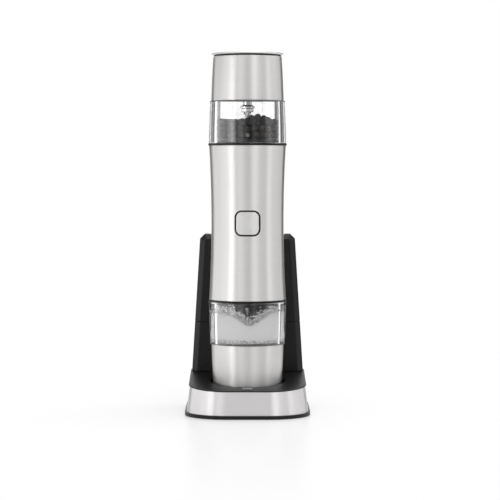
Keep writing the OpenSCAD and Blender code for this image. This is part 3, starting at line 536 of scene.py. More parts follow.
def pepper_skin(name):
    """Dried, wrinkled skin of peppercorns. Each corn has its own shade in the attribute corn_shade."""
    finish = new_finish(name)
    shade = finish.node("ShaderNodeAttribute", {"attribute_name": "corn_shade"}).out("Fac")
    wrinkles = finish.noise(finish.place(), 1500.0, 4.0, 0.65)
    patches = finish.noise(finish.place(), 420.0)
    tones = (
        (0.0, (0.010, 0.0085, 0.008, 1.0)),
        (0.45, (0.020, 0.015, 0.012, 1.0)),
        (0.75, (0.042, 0.027, 0.018, 1.0)),
        (0.93, (0.075, 0.055, 0.038, 1.0)),
        (0.97, (0.55, 0.52, 0.42, 1.0)),
    )
    skin = finish.ramp(shade, tones)
    return finish.surface(
        Base_Color=finish.blend(wrinkles * 0.7 + patches * 0.3, (0.006, 0.005, 0.005, 1.0), skin),
        Roughness=wrinkles * 0.25 + 0.42,
        Specular_IOR_Level=0.4,
        Normal=finish.bump(wrinkles, 0.7, 0.0003),
    )


def salt_crystal(name, colour, depth):
    """Salt that light enters to a depth. The attribute grain_shade darkens it with painted shade."""
    finish = new_finish(name)
    shade = finish.node("ShaderNodeAttribute", {"attribute_name": "grain_shade"}).out("Fac")
    sugar = finish.cells(finish.place(), 1500.0)
    cloud = finish.noise(finish.place(), 500.0, 3.0, 0.6)
    return finish.surface(
        # painted shade: grain_shade takes the colour down towards 0.42 of itself
        Base_Color=finish.shades(shade + cloud * 0.06, colour, 1.0, 0.42),
        Roughness=sugar * 0.2 + 0.22,
        Subsurface_Weight=1.0,
        Subsurface_Radius=(1.0, 1.0, 1.0),
        Subsurface_Scale=depth,
        Normal=finish.bump(sugar, 0.5, 0.0003),
    )


FINISHES = {}


def make_finishes():
    """Makes every finish, before the pieces. Most have their slot's name, and the last few their own."""
    c = colours()
    rings = moulded_plastic("ring_moulding", (0.004, 0.004, 0.0045), 0.35, 2200.0, 0.00002, 0.22)
    FINISHES.update(
        black_plastic=moulded_plastic("stand_moulding", c.moulding, c.moulding_rough, shine=0.26),
        grey_plastic=moulded_plastic("inner_moulding", c.inner, 0.5, 1900.0, 0.00003, 0.4),
        clear_plastic=clear_plastic("clear_chamber", (1.0, 1.0, 1.0), 0.01),
        lens_plastic=moulded_plastic("frosted_lens", (0.36, 0.365, 0.37), 0.3, 2600.0, 0.00002, 0.5),
        socket_plastic=rings,
        gear_nylon=moulded_plastic("gear_nylon", (0.74, 0.72, 0.66), 0.42, 2600.0, 0.00002, 0.5),
        soft_pad=soft_rubber("well_pad_rubber", (0.012, 0.012, 0.013)),
        rubber=soft_rubber("foot_rubber", (0.02, 0.02, 0.021)),
        brushed_steel=brushed_steel("brushed_steel", c.steel, c.steel_rough),
        satin_steel=turned_steel("satin_steel", c.satin, 0.3),
        spring_steel=drawn_metal("bright_steel", (0.72, 0.72, 0.72), 0.22),
        screw_steel=drawn_metal("zinc_plating", (0.42, 0.42, 0.43), 0.34),
        motor_steel=drawn_metal("motor_plating", (0.52, 0.53, 0.54), 0.32),
        motor_copper=wound_copper("rotor_winding", (0.62, 0.28, 0.12)),
        contact_metal=drawn_metal("contact_gold", (0.80, 0.58, 0.24), 0.24),
        cell_wrap=cell_wrap("cell_wrap", (0.03, 0.12, 0.30)),
        circuit_board=circuit_lacquer("circuit_lacquer", (0.012, 0.10, 0.045)),
        burr_ceramic=fired_ceramic("burr_ceramic", (0.80, 0.78, 0.73)),
        peppercorns=pepper_skin("peppercorn_skin"),
        salt=salt_crystal("salt_heap", (0.98, 0.98, 0.975), 0.005),
        grains=salt_crystal("salt_crystal", (0.97, 0.97, 0.965), 0.0006),
        rings=rings,
        button=brushed_steel("button_steel", c.satin, 0.46),
        # the band's lighter steel colour is partly a painted highlight
        band=brushed_steel("band_steel", c.band, c.steel_rough - 0.03),
        upper_shaft=drawn_metal("shaft_steel", (0.86, 0.86, 0.85), 0.5),
        # brighter than the upper shaft's steel: painted highlight for the shaft in the salt's dark hollow
        lower_shaft=drawn_metal("rod_steel", (0.93, 0.93, 0.92), 0.16),
    )


# nodes from the frame whose finish isn't that of their slot
NODE_FINISH = {
    "upper_gearbox": "rings",
    "lower_gearbox": "rings",
    "upper_cap_plug": "rings",
    "lower_cap_plug": "rings",
    "upper_drive_shaft": "upper_shaft",
    "lower_drive_shaft": "lower_shaft",
}

# ---------------------------------------------------------------- modelling helpers


def piece_from(bm, name, body, slot, replaced, sharp_angle=35.0, finish=None):
    """Turns a bmesh into a piece that rides on a body. It gets its slot's finish, unless one is given."""
    for face in bm.faces:
        face.smooth = True
    for edge in bm.edges:
        edge.smooth = edge.calc_face_angle(math.pi) < math.radians(sharp_angle)
    piece = object_from(bm, name)
    piece.data.materials.append(FINISHES[finish or slot])
    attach(piece, body)
    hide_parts(replaced)
    return piece


def end_piece(end, bm, name, body, slot, replaced, *more):
    """A piece of the upper or lower end, whose own name, body and node all start with the end's name."""
    return piece_from(bm, f"{end}_{name}", f"{end}_{body}", slot, f"{end}_{replaced}", *more)


def object_from(bm, name):
    mesh = bpy.data.meshes.new(name)
    bm.to_mesh(mesh)
    bm.free()
    made = bpy.data.objects.new(name, mesh)
    bpy.context.scene.collection.objects.link(made)
    return made


def level_faces(piece):
    """Keeps large flat faces flat in the shading, beside small rounded edges."""
    even = piece.modifiers.new("even_shading", "WEIGHTED_NORMAL")
    even.keep_sharp = True
    even.weight = 100


def only(kind, parts):
    return [part for part in parts if isinstance(part, kind)]


def lofted(rows, closed=False):
    """A skin drawn out from one row of points to the next. A closed one comes back to its first row, and
    others are capped."""
    bm = bmesh.new()
    ring = [bm.verts.new(point) for point in rows[0]]
    edges = [bm.edges.new((ring[i - 1], ring[i])) for i in range(len(ring))]
    for row in rows[1:] + (rows[:1] if closed else []):
        drawn = bmesh.ops.extrude_edge_only(bm, edges=edges)["geom"]
        fresh = set(only(bmesh.types.BMVert, drawn))
        edges = [edge for edge in only(bmesh.types.BMEdge, drawn) if fresh.issuperset(edge.verts)]
        neighbours = ([edge.other_vert(vert) for edge in vert.link_edges] for vert in ring)
        ring = [next(vert for vert in around if vert in fresh) for around in neighbours]
        for vert, point in zip(ring, row):
            vert.co = point
    if not closed:
        bmesh.ops.holes_fill(bm, edges=bm.edges[:], sides=0)
    outwards(bm)
    return bm


def gathered(count, add_one, layer=None, batch=80):
    """Many small shapes in one bmesh, in batches, because an operator slows down as its bmesh grows."""
    whole = bmesh.new()
    for start in range(0, count, batch):
        part = bmesh.new()
        if layer:
            part.verts.layers.float.new(layer)
        for i in range(start, min(start + batch, count)):
            add_one(part, i)
        mesh = bpy.data.meshes.new("batch")
        part.to_mesh(mesh)
        part.free()
        whole.from_mesh(mesh)
        bpy.data.meshes.remove(mesh)
    return whole


def outwards(bm):
    """Merges doubles, and turns the faces outwards."""
    bmesh.ops.remove_doubles(bm, verts=bm.verts[:], dist=MM / 1000)
    bmesh.ops.recalc_face_normals(bm, faces=bm.faces[:])


def turned(profile, steps=192, closed=True):
    """A shape turned on the mill's axis from a profile of (radius, height) points in the frame."""
    bm = bmesh.new()
    verts = [bm.verts.new((radius, MILL_Y, height)) for radius, height in profile]
    pairs = list(zip(verts, verts[1:])) + ([(verts[-1], verts[0])] if closed else [])
    edges = [bm.edges.new(pair) for pair in pairs]
    bmesh.ops.spin(
        bm, geom=verts + edges, cent=(0, MILL_Y, 0), axis=(0, 0, 1), angle=TURN, steps=steps, use_merge=True
    )
    outwards(bm)
    return bm


def arc(centre, radius, start, stop, steps=4):
    """Points on an arc between two angles in degrees."""
    turns = [math.radians(start + (stop - start) * i / steps) for i in range(steps + 1)]
    return [(centre[0] + radius * math.cos(turn), centre[1] + radius * math.sin(turn)) for turn in turns]


def at_side(profile, side):
    """A profile of (radius, height above the mill's middle), as (radius, height in the frame)."""
    return [(radius, at_end(side, height)) for radius, height in profile]


def rounded_square(width, corner, steps=8):
    """Outline of a rounded square centred on zero, as (across, up) points."""
    inner = width / 2 - corner
    points = []
    for quadrant, (across, up) in enumerate(((1, 1), (-1, 1), (-1, -1), (1, -1))):
        points += arc((across * inner, up * inner), corner, quadrant * 90, quadrant * 90 + 90, steps)
    return points


def prism(outline, y_front, y_back):
    """A prism along Y from an outline of (x, z) points."""
    return lofted([[(x, y, z) for x, z in outline] for y in (y_front, y_back)])


def rectangle(x_half, z_low, z_high):
    return [(-x_half, z_low), (x_half, z_low), (x_half, z_high), (-x_half, z_high)]


def rod(radius, start, stop, steps=48):
    """A plain cylinder between two points."""
    along = Vector(stop) - Vector(start)
    turn = along.to_track_quat("Z", "Y").to_matrix().to_4x4()
    bm = bmesh.new()
    bmesh.ops.create_cone(
        bm, cap_ends=True, segments=steps, radius1=radius, radius2=radius, depth=along.length,
        matrix=Matrix.Translation((Vector(start) + Vector(stop)) / 2) @ turn,
    )
    return bm


def combined(bm, *tools):
    """Applies boolean tools to a bmesh, as (operation, bmesh) pairs, and returns the result."""
    target = object_from(bm, "work_piece")
    helpers = []
    for operation, tool in tools:
        helper = object_from(tool, "work_tool")
        helpers.append(helper)
        modifier = target.modifiers.new("cut", "BOOLEAN")
        modifier.operation = operation
        modifier.solver = "MANIFOLD"
        modifier.object = helper
    bpy.context.view_layer.update()
    result = bmesh.new()
    result.from_object(target, bpy.context.evaluated_depsgraph_get())
    for done in [target, *helpers]:
        mesh = done.data
        bpy.data.objects.remove(done)
        bpy.data.meshes.remove(mesh)
    return result


def softened(bm, width, least_angle=28.0, segments=3):
    """Rounds every edge that turns by more than least_angle."""
    sharp = [edge for edge in bm.edges if edge.calc_face_angle(0.0) > math.radians(least_angle)]
    bmesh.ops.bevel(
        bm, geom=sharp, offset=width, offset_type="OFFSET", affect="EDGES", segments=segments, profile=0.5,
        material=-1, clamp_overlap=True,
    )
    return bm


def sliced(bm, point, normal):
    """Cuts away what lies beyond a plane, and closes the cut."""
    cut = bmesh.ops.bisect_plane(
        bm, geom=bm.verts[:] + bm.edges[:] + bm.faces[:], plane_co=point, plane_no=normal, clear_outer=True
    )
    bmesh.ops.holes_fill(bm, edges=only(bmesh.types.BMEdge, cut["geom_cut"]), sides=0)
    outwards(bm)
    return bm


# ---------------------------------------------------------------- outline of the stand

PLAN_STEPS = 360
MIDDLE_Y = (FOOT_FRONT + FOOT_BACK) / 2
FOOT_STEP = FOOT_HALF - BAND_HALF


def plan_depth(x, y):
    """Signed distance from the outline of the foot ring, negative inside."""
    corner = sizes().front_corner if y < MIDDLE_Y else sizes().rear_corner
    past_x = abs(x) - FOOT_HALF + corner
    past_y = abs(y - MIDDLE_Y) - (FOOT_BACK - FOOT_FRONT) / 2 + corner
    return math.hypot(max(past_x, 0), max(past_y, 0)) + min(max(past_x, past_y), 0) - corner


def plan_point(angle, inset):
    """Where a ray from the mill's axis meets the outline moved in by inset."""
    near, far = 0.0, 0.12
    for _ in range(30):
        middle = (near + far) / 2
        inside = plan_depth(middle * math.cos(angle), MILL_Y + middle * math.sin(angle)) + inset < 0
        near, far = (middle, far) if inside else (near, middle)
    return near * math.cos(angle), MILL_Y + near * math.sin(angle)


def lean_inset(wall, height):
    """How far the leaning side lies inside the foot ring, with wall taken off the band's outside."""
    s = sizes()
    rate = s.band_lean / (s.top_front - s.lip_height - BAND_FOOT)
    return FOOT_STEP + wall + rate * (height - BAND_FOOT)


def lip_inset():
    return FOOT_STEP + sizes().band_lean - sizes().lip_step


def top_height(y):
    """Height of the sloping top of the stand."""
    return sizes().top_front + math.tan(sizes().top_slope) * (y - FOOT_FRONT - lip_inset())


def round_the_plan(point_at):
    return [point_at(TURN * i / PLAN_STEPS) for i in range(PLAN_STEPS)]


def lip_row(inset, drop):
    """Points parallel to the outline, drop below the sloping top."""

    def point_at(angle):
        x, y = plan_point(angle, inset)
        return x, y, top_height(y) - drop

    return round_the_plan(point_at)


def side_row(wall, drop=None):
    """Points on the leaning side, at the foot or drop below the sloping top."""

    def point_at(angle):
        height = BAND_FOOT
        for _ in range(0 if drop is None else 5):
            height = top_height(plan_point(angle, lean_inset(wall, height))[1]) - drop
        return *plan_point(angle, lean_inset(wall, height)), height

    return round_the_plan(point_at)


def well_row(radius, drop=None, height=None):
    """Points round the mill's axis, drop below the sloping top or level at a height."""

    def point_at(angle):
        x, y = radius * math.cos(angle), MILL_Y + radius * math.sin(angle)
        return x, y, top_height(y) - drop if height is None else height

    return round_the_plan(point_at)


def side_strip(outer_wall, inner_wall, drop, keep_front, cut_y):
    """A strip round the leaning side with a square cut at cut_y."""
    rows = [side_row(outer_wall), side_row(outer_wall, drop)]
    rows += [side_row(inner_wall, drop), side_row(inner_wall)]
    return sliced(lofted(rows, closed=True), (0, cut_y, 0), (0, 1 if keep_front else -1, 0))


# ---------------------------------------------------------------- the stage


class MILL_OT_stage(bpy.types.Operator):
    """Floor, studio light, surroundings and camera"""

    bl_idname = "mill.stage"
    bl_label = "Stage"

    # brightness of the surroundings by direction in degrees: 0 is in front, positive to the right
    AROUND = (
        (-180, 1.0), (-165, 1.0), (-160, 0.80), (-140, 0.74), (-130, 0.36), (-118, 0.27), (-106, 0.36),
        (-90, 0.55), (-76, 0.82), (-64, 0.86), (-58, 0.36), (-46, 0.46), (-40, 0.96), (-28, 1.02),
        (-20, 1.04), (-10, 1.00), (-2, 0.89), (4, 0.88), (10, 1.02), (18, 1.66), (27, 1.78), (36, 1.24),
        (46, 1.06), (54, 1.00), (64, 1.00), (76, 0.92), (104, 1.30), (118, 1.16), (134, 0.62), (162, 0.40),
        (165, 1.0), (180, 1.0),
    )
    # the same close to the horizon, which upright walls of clear plastic and steel show
    LEVEL = (
        (-180, 1.0), (-165, 1.0), (-162, 0.05), (-138, 0.05), (-132, 1.4), (-112, 1.8), (-86, 2.0),
        (-61, 2.0), (-58, 4.4), (-46, 4.4), (-42, 2.6), (-37, 0.50), (-34, 0.45), (-29, 1.2), (-20, 1.2),
        (-8, 0.50), (4, 0.14), (12, 0.20), (20, 0.60), (30, 0.24), (46, 0.30), (60, 0.30), (67, 1.6),
        (74, 1.6), (82, 0.9), (92, 0.50), (110, 0.45), (124, 0.62), (132, 1.2), (138, 0.05), (162, 0.05),
        (165, 1.0),
    )
    HORIZON = (0.09, 0.15)              # rise at which the level light starts and stops giving way
    OVERHEAD = (0.45, 0.9)              # rise at which the surroundings start and stop turning white
    FLOOR_R = 0.52
    BARE_FLOOR = (0.10, 0.45)           # distances between which the floor loses its shadows
    BARE_SHARE = 0.45                   # how much of the floor is plain white beside the object

    BOX_PLACE = Vector((0.125, 0.2165, 1.30))
    BOX_SIZE = (0.80, 0.60)
    BOX_WATTS = 4.0

    CAMERA_AWAY = 1.290
    CAMERA_HEIGHT = 0.1619
    CAMERA_DIP = 2.385
    CAMERA_LENS = 140.4
    CAMERA_SENSOR = 36.0
    CAMERA_SHIFT = 0.005

    def execute(self, context):
        context.scene.view_settings.view_transform = "Standard"
        self.floor()
        self.surroundings(context.scene)
        self.softbox(context.scene)
        self.camera(context.scene)
        return {"FINISHED"}

    def floor(self):
        bm = bmesh.new()
        bmesh.ops.create_circle(bm, cap_ends=True, segments=96, radius=self.FLOOR_R)
        floor = object_from(bm, "studio_floor")
        finish = new_finish("studio_floor")
        paper = finish.noise(finish.place(), 90.0)
        colour = finish.blend(paper, (0.90, 0.90, 0.90, 1.0), (0.93, 0.93, 0.93, 1.0))
        sheet = finish.principled(Base_Color=colour, Roughness=0.3, Specular_IOR_Level=0.2)
        white = finish.node("ShaderNodeEmission", None, {"Strength": 1.0}).out()
        x, y, _ = finish.axes(finish.place())
        bare = finish.fade((x * x + y * y).root(), *self.BARE_FLOOR, self.BARE_SHARE, 1.0)
        seen = finish.node("ShaderNodeLightPath").out("Is Camera Ray")
        floor.data.materials.append(finish.finish_with(finish.either(bare * seen, sheet, white)))

    def surroundings(self, scene):
        scene.world = bpy.data.worlds.new("light_tent")
        finish = Finish(scene.world)
        seen = finish.node("ShaderNodeLightPath").out("Is Camera Ray")
        x, y, z = finish.axes(finish.node("ShaderNodeTexCoord").out("Generated"))
        turn = x.angle_to(0.0 - y) / TURN + 0.5
        around, level = (
            finish.ramp(turn, [((angle + 180) / 360, (share, share, share, 1.0)) for angle, share in table])
            for table in (self.AROUND, self.LEVEL)
        )
        sides = finish.blend(finish.fade(z.size(), *self.HORIZON), level, around)
        room = finish.blend(finish.fade(z, *self.OVERHEAD), sides, WHITE)
        light = {"Color": finish.blend(seen, room, WHITE), "Strength": 1.0}
        finish.finish_with(finish.node("ShaderNodeBackground", None, light).out())

    def softbox(self, scene):
        """Large lamp above and behind the mill, which looks down on it."""
        lamp = bpy.data.lights.new("top_softbox", "AREA")
        lamp.shape = "RECTANGLE"
        lamp.size, lamp.size_y = self.BOX_SIZE
        lamp.energy = self.BOX_WATTS
        holder = bpy.data.objects.new("top_softbox", lamp)
        scene.collection.objects.link(holder)
        holder.location = self.BOX_PLACE + Vector((0, MILL_Y, 0))
        aim = Vector((0, MILL_Y, MID_Z)) - holder.location
        holder.rotation_euler = aim.to_track_quat("-Z", "Y").to_euler()
        holder.visible_camera = False

    def camera(self, scene):
        lens = bpy.data.cameras.new("view")
        lens.sensor_width = self.CAMERA_SENSOR
        lens.lens = self.CAMERA_LENS
        lens.shift_x = self.CAMERA_SHIFT
        scene.camera = bpy.data.objects.new("view", lens)
        scene.collection.objects.link(scene.camera)
        scene.camera.location = (0.0, MILL_Y - self.CAMERA_AWAY, self.CAMERA_HEIGHT)
        scene.camera.rotation_euler = Euler((math.radians(90.0 - self.CAMERA_DIP), 0, 0))


# ---------------------------------------------------------------- pieces of the mill

SHELL_STEPS = 224           # round the steel and the chambers
STRAIGHT_BORE = 1.2 * MM    # the end of a chamber's bore that doesn't taper
BORE_LEN = CHAMBER_LEN - STRAIGHT_BORE


def tapering(radius, drop, cone, foot, length, rows):
    """Profile of a side that narrows by drop: a share of it, cone, is straight and the rest curves in."""
    shares = [i / rows for i in range(1, rows + 1)]
    return [(radius - drop * (cone * t + (1 - cone) * t * t), foot + length * t) for t in shares]


class MILL_OT_body_tube(bpy.types.Operator):
    """Waisted steel body with the window for the button and the slot for the charging contacts"""

    bl_idname = "mill.body_tube"
    bl_label = "Steel body"

    ROWS = 56
    CUT_DEPTH = 40 * MM         # enough to pass through one side of the tube

    def execute(self, context):
        s = sizes()
        edge = s.steel_edge
        outside = []
        for i in range(1, self.ROWS):
            height = BODY_HALF * (2 * i / self.ROWS - 1)
            outside.append((WAIST_R + (BODY_END_R - WAIST_R) * (height / BODY_HALF) ** 2, MID_Z + height))
        foot = arc((BODY_END_R - edge, MID_Z - BODY_HALF + edge), edge, -90, 0)
        top = arc((BODY_END_R - edge, MID_Z + BODY_HALF - edge), edge, 0, 90)
        end_bore = BODY_END_R - s.body_wall
        inside = [(radius - s.body_wall, height) for radius, height in reversed(outside)]
        inside = [(end_bore, MID_Z + BODY_HALF), *inside, (end_bore, MID_Z - BODY_HALF)]
        tube = turned(foot + outside + top + inside, SHELL_STEPS)
        width = s.button_width + 2 * (s.button_gap + s.button_frame)
        corner = s.button_corner + s.button_gap + s.button_frame
        outline = [(x, MID_Z + z) for x, z in rounded_square(width, corner)]
        window = prism(outline, MILL_Y - self.CUT_DEPTH, MILL_Y)
        insert_low, insert_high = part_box("contact_insert")
        outline = rectangle(insert_high.x, insert_low.z, insert_high.z)
        slot = prism(outline, MILL_Y, MILL_Y + self.CUT_DEPTH)
        tube = combined(tube, ("DIFFERENCE", window), ("DIFFERENCE", slot))
        piece_from(tube, "steel_body", "mill_body", "brushed_steel", "body_sleeve")
        return {"FINISHED"}


class MILL_OT_heads(bpy.types.Operator):
    """Steel sleeve of each grinder head"""

    bl_idname = "mill.heads"
    bl_label = "Grinder heads"

    ROWS = 24
    CONE = 0.55                 # share of the taper that is straight

    def execute(self, context):
        s = sizes()
        edge = s.steel_edge
        outside = tapering(HEAD_R, s.head_taper, self.CONE, HEAD_FOOT, HEAD_LEN, self.ROWS)[:-1]
        top_r = HEAD_R - s.head_taper
        foot = arc((HEAD_R - edge, HEAD_FOOT + edge), edge, -90, 0)
        top = arc((top_r - edge, HEAD_FOOT + HEAD_LEN - edge), edge, 0, 90)
        inside = [(top_r - s.body_wall, HEAD_FOOT + HEAD_LEN), (HEAD_R - s.body_wall, HEAD_FOOT)]
        for end, side in ENDS:
            bm = turned(at_side(foot + outside + top + inside, side), SHELL_STEPS)
            end_piece(end, bm, "head_steel", "head", "brushed_steel", "head_sleeve")
        return {"FINISHED"}


class MILL_OT_chambers(bpy.types.Operator):
    """Thick clear chamber at each end"""

    bl_idname = "mill.chambers"
    bl_label = "Clear chambers"

    ROWS = 14
    LIP = 0.35 * MM
    CONE = 0.19                 # share of the taper that is straight

    def execute(self, context):
        s = sizes()
        outside = arc((CHAMBER_R - self.LIP, CHAMBER_FOOT + self.LIP), self.LIP, -90, 0)
        foot, length = CHAMBER_FOOT + self.LIP, CHAMBER_LEN - self.LIP
        outside += tapering(CHAMBER_R, CHAMBER_R - CHAMBER_HEAD_R, self.CONE, foot, length, self.ROWS)
        inside = [(s.chamber_bore - s.bore_taper, CHAMBER_FOOT + CHAMBER_LEN)]
        for t in (i / self.ROWS for i in range(self.ROWS, -1, -1)):
            inside.append((s.chamber_bore - s.bore_taper * t * t, CHAMBER_FOOT + BORE_LEN * t))
        for end, side in ENDS:
            bm = turned(at_side(outside + inside, side), SHELL_STEPS)
            end_piece(end, bm, "clear_chamber", "head", "clear_plastic", "chamber", 40)
        return {"FINISHED"}


class MILL_OT_caps(bpy.types.Operator):
    """Steel disc with a flared, rounded rim on each cap"""

    bl_idname = "mill.caps"
    bl_label = "Cap discs"

    RIM = 0.45 * MM
    RIM_RISE = 0.85 * MM

    def execute(self, context):
        top = CAP_FOOT + CAP_T
        outline = [(0.0, CAP_FOOT), (CAP_R - 1.4 * MM, CAP_FOOT), (CAP_R - 0.5 * MM, CAP_FOOT + 0.3 * MM)]
        outline += arc((CAP_R - self.RIM, CAP_FOOT + self.RIM_RISE), self.RIM, -35, 65, 6)
        outline += [(CAP_R - 0.9 * MM, top - 0.2 * MM), (CAP_R - 2.2 * MM, top - 0.05 * MM)]
        outline += [(CAP_R - 4 * MM, top), (CAP_R / 2, top), (0.0, top)]
        for end, side in ENDS:
            bm = turned(at_side(outline, side), 192, closed=False)
            end_piece(end, bm, "cap_steel", "cap", "satin_steel", "cap_disc", 40)
        return {"FINISHED"}


class MILL_OT_button(bpy.types.Operator):
    """Push button that follows the curve of the body, with its dark frame"""

    bl_idname = "mill.button"
    bl_label = "Push button"

    FACE_SHARES = (0.06, 0.35, 0.7)     # loops across the button's face and back
    BEND_STEPS = 5
    FLANGE = 1.1 * MM
    BACK = 3.5 * MM
    PLUNGER_R = 1.5 * MM
    TRAVEL = 1.0 * MM

    FRAME_FACE = 0.1 * MM               # depths of the frame, from the body's surface inwards
    FRAME_RIM = 0.12 * MM
    FLANGE_FACE = 0.95 * MM
    FLANGE_BACK = 1.9 * MM
    FRAME_BACK = 2.2 * MM
    FRAME_FLANGE = 1.5 * MM
    FLANGE_CORNER = 5 * MM

    def execute(self, context):
        s = sizes()
        bm = combined(self.rings(self.button_rows(s), False), ("UNION", self.plunger()))
        piece_from(bm, "push_button", "power_button", "satin_steel", "power_button", 40, "button")
        frame_bm = self.rings(self.frame_rows(s), True)
        piece_from(frame_bm, "button_frame", "mill_body", "black_plastic", "button_bezel", 40, "rings")
        return {"FINISHED"}

    def button_rows(self, s):
        width, corner, edge = s.button_width, s.button_corner, s.button_edge
        rows = [(width * share, corner * share, 0.0) for share in self.FACE_SHARES]
        for turn in (math.radians(90 * i / self.BEND_STEPS) for i in range(self.BEND_STEPS + 1)):
            inset = edge * (1 - math.sin(turn))
            rows.append((width - 2 * inset, corner - inset, edge * (1 - math.cos(turn))))
        flange = (width + 2 * self.FLANGE, corner + self.FLANGE)
        flange_face = self.BACK - self.FLANGE
        rows += [(width, corner, flange_face), (*flange, flange_face), (*flange, self.BACK)]
        return rows + [(width * share, corner * share, self.BACK) for share in reversed(self.FACE_SHARES)]

    def plunger(self):
        """The pin behind the button, which ends where the board's switch is reached at full travel."""
        start, tip = MILL_Y - WAIST_R + self.BACK / 2, high("power_button").y - self.TRAVEL
        return rod(self.PLUNGER_R, (0, start, MID_Z), (0, tip, MID_Z), 32)

    def frame_rows(self, s):
        inner = (s.button_width + 2 * s.button_gap, s.button_corner + s.button_gap)
        rim = (inner[0] + 2 * self.FRAME_RIM, inner[1] + self.FRAME_RIM)
        outer = (inner[0] + 2 * s.button_frame, inner[1] + s.button_frame)
        flange = (outer[0] + 2 * self.FRAME_FLANGE, self.FLANGE_CORNER)
        return [
            (*outer, self.FRAME_FACE),
            (*rim, self.FRAME_FACE),
            (*inner, self.FRAME_FACE + self.FRAME_RIM),
            (*inner, self.FRAME_BACK),
            (*outer, self.FRAME_BACK),
            (*outer, self.FLANGE_BACK),
            (*flange, self.FLANGE_BACK),
            (*flange, self.FLANGE_FACE),
            (*outer, self.FLANGE_FACE),
        ]

    def rings(self, rows, closed):
        """Loops of rounded squares, given as width, corner and depth, that bend round the mill's axis."""
        skin = []
        for width, corner, depth in rows:
            radius = WAIST_R - depth
            outline = rounded_square(width, corner)
            skin.append([(x, MILL_Y - math.sqrt(radius * radius - x * x), MID_Z + z) for x, z in outline])
        return lofted(skin, closed)


class MILL_OT_spindles(bpy.types.Operator):
    """Collared sleeve of each grinder, with the hexagonal socket for the drive shaft"""

    bl_idname = "mill.spindles"
    bl_label = "Spindles"

    NECK_SHARE = 0.62           # of the collar
    SOCKET_PLAY = 0.05 * MM
    SOCKET_END = 0.3 * MM       # beyond the shaft

    def execute(self, context):
        foot = foot_of("upper_spindle")
        length = height_of("upper_spindle")
        collar = half_width("upper_spindle")
        neck = collar * self.NECK_SHARE
        shape = (
            (0.0, 0.0), (3.7, 0.0), (4.0, 0.3), (4.0, 1.6), (3.4, 1.75), (3.4, 2.0),
            (collar / MM - 0.3, 2.2), (collar / MM, 2.55), (collar / MM, 3.4), (collar / MM - 0.3, 3.8),
            (3.4, 4.1), (neck / MM, 4.6),
        )
        outline = [(radius * MM, foot + rise * MM) for radius, rise in shape]
        outline += [(neck, foot + length), (0.0, foot + length)]
        socket_end = high("upper_drive_shaft").z - MID_Z + self.SOCKET_END
        for end, side in ENDS:
            bm = turned(at_side(outline, side), 64, closed=False)
            start, stop = on_axis(side, foot - MM), on_axis(side, socket_end)
            bm = combined(bm, ("DIFFERENCE", rod(SHAFT_R + self.SOCKET_PLAY, start, stop, 6)))
            end_piece(end, bm, "spindle_sleeve", "grinder", "grey_plastic", "spindle", 30, "spring_steel")
        return {"FINISHED"}


class MILL_OT_bridges(bpy.types.Operator):
    """Clear bridge with softened edges over the mouth of each grinder, with a round hub for the shaft"""

    bl_idname = "mill.bridges"
    bl_label = "Bearing bridges"

    LEG = 2.9 * MM
    ARM = 1.6 * MM
    BEND = 3.0 * MM
    THROAT = 1.0 * MM
    HUB_R = 4.3 * MM
    HUB_STEP = 0.1 * MM
    BORE_PLAY = 0.35 * MM
    EDGE = 0.55 * MM

    def execute(self, context):
        start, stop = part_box("upper_bearing_bridge")
        foot, top = start.z - MID_Z, stop.z - MID_Z
        inner = BRIDGE_R - self.LEG
        corner = arc((BRIDGE_R - self.BEND, foot + self.BEND), self.BEND, 0, -90, 8)
        throat = arc((inner - self.THROAT, foot + self.ARM + self.THROAT), self.THROAT, -90, 0, 4)
        outer_half = [(BRIDGE_R, top), *corner]
        inner_half = [*throat, (inner, top)]
        outline = outer_half + self.mirrored(outer_half) + self.mirrored(inner_half) + inner_half
        for end, side in ENDS:
            bm = prism(at_side(outline, side), start.y, stop.y)
            hub_end = on_axis(side, foot + self.ARM + self.HUB_STEP)
            hub = rod(self.HUB_R, on_axis(side, foot), hub_end)
            bore = rod(SHAFT_R + self.BORE_PLAY, on_axis(side, foot - MM), on_axis(side, foot + 3 * MM))
            bm = softened(combined(bm, ("UNION", hub), ("DIFFERENCE", bore)), self.EDGE, 40)
            end_piece(end, bm, "clear_bridge", "head", "clear_plastic", "bearing_bridge", 40)
        return {"FINISHED"}

    def mirrored(self, half):
        return [(-x, height) for x, height in reversed(half)]


# ---------------------------------------------------------------- what the chambers hold


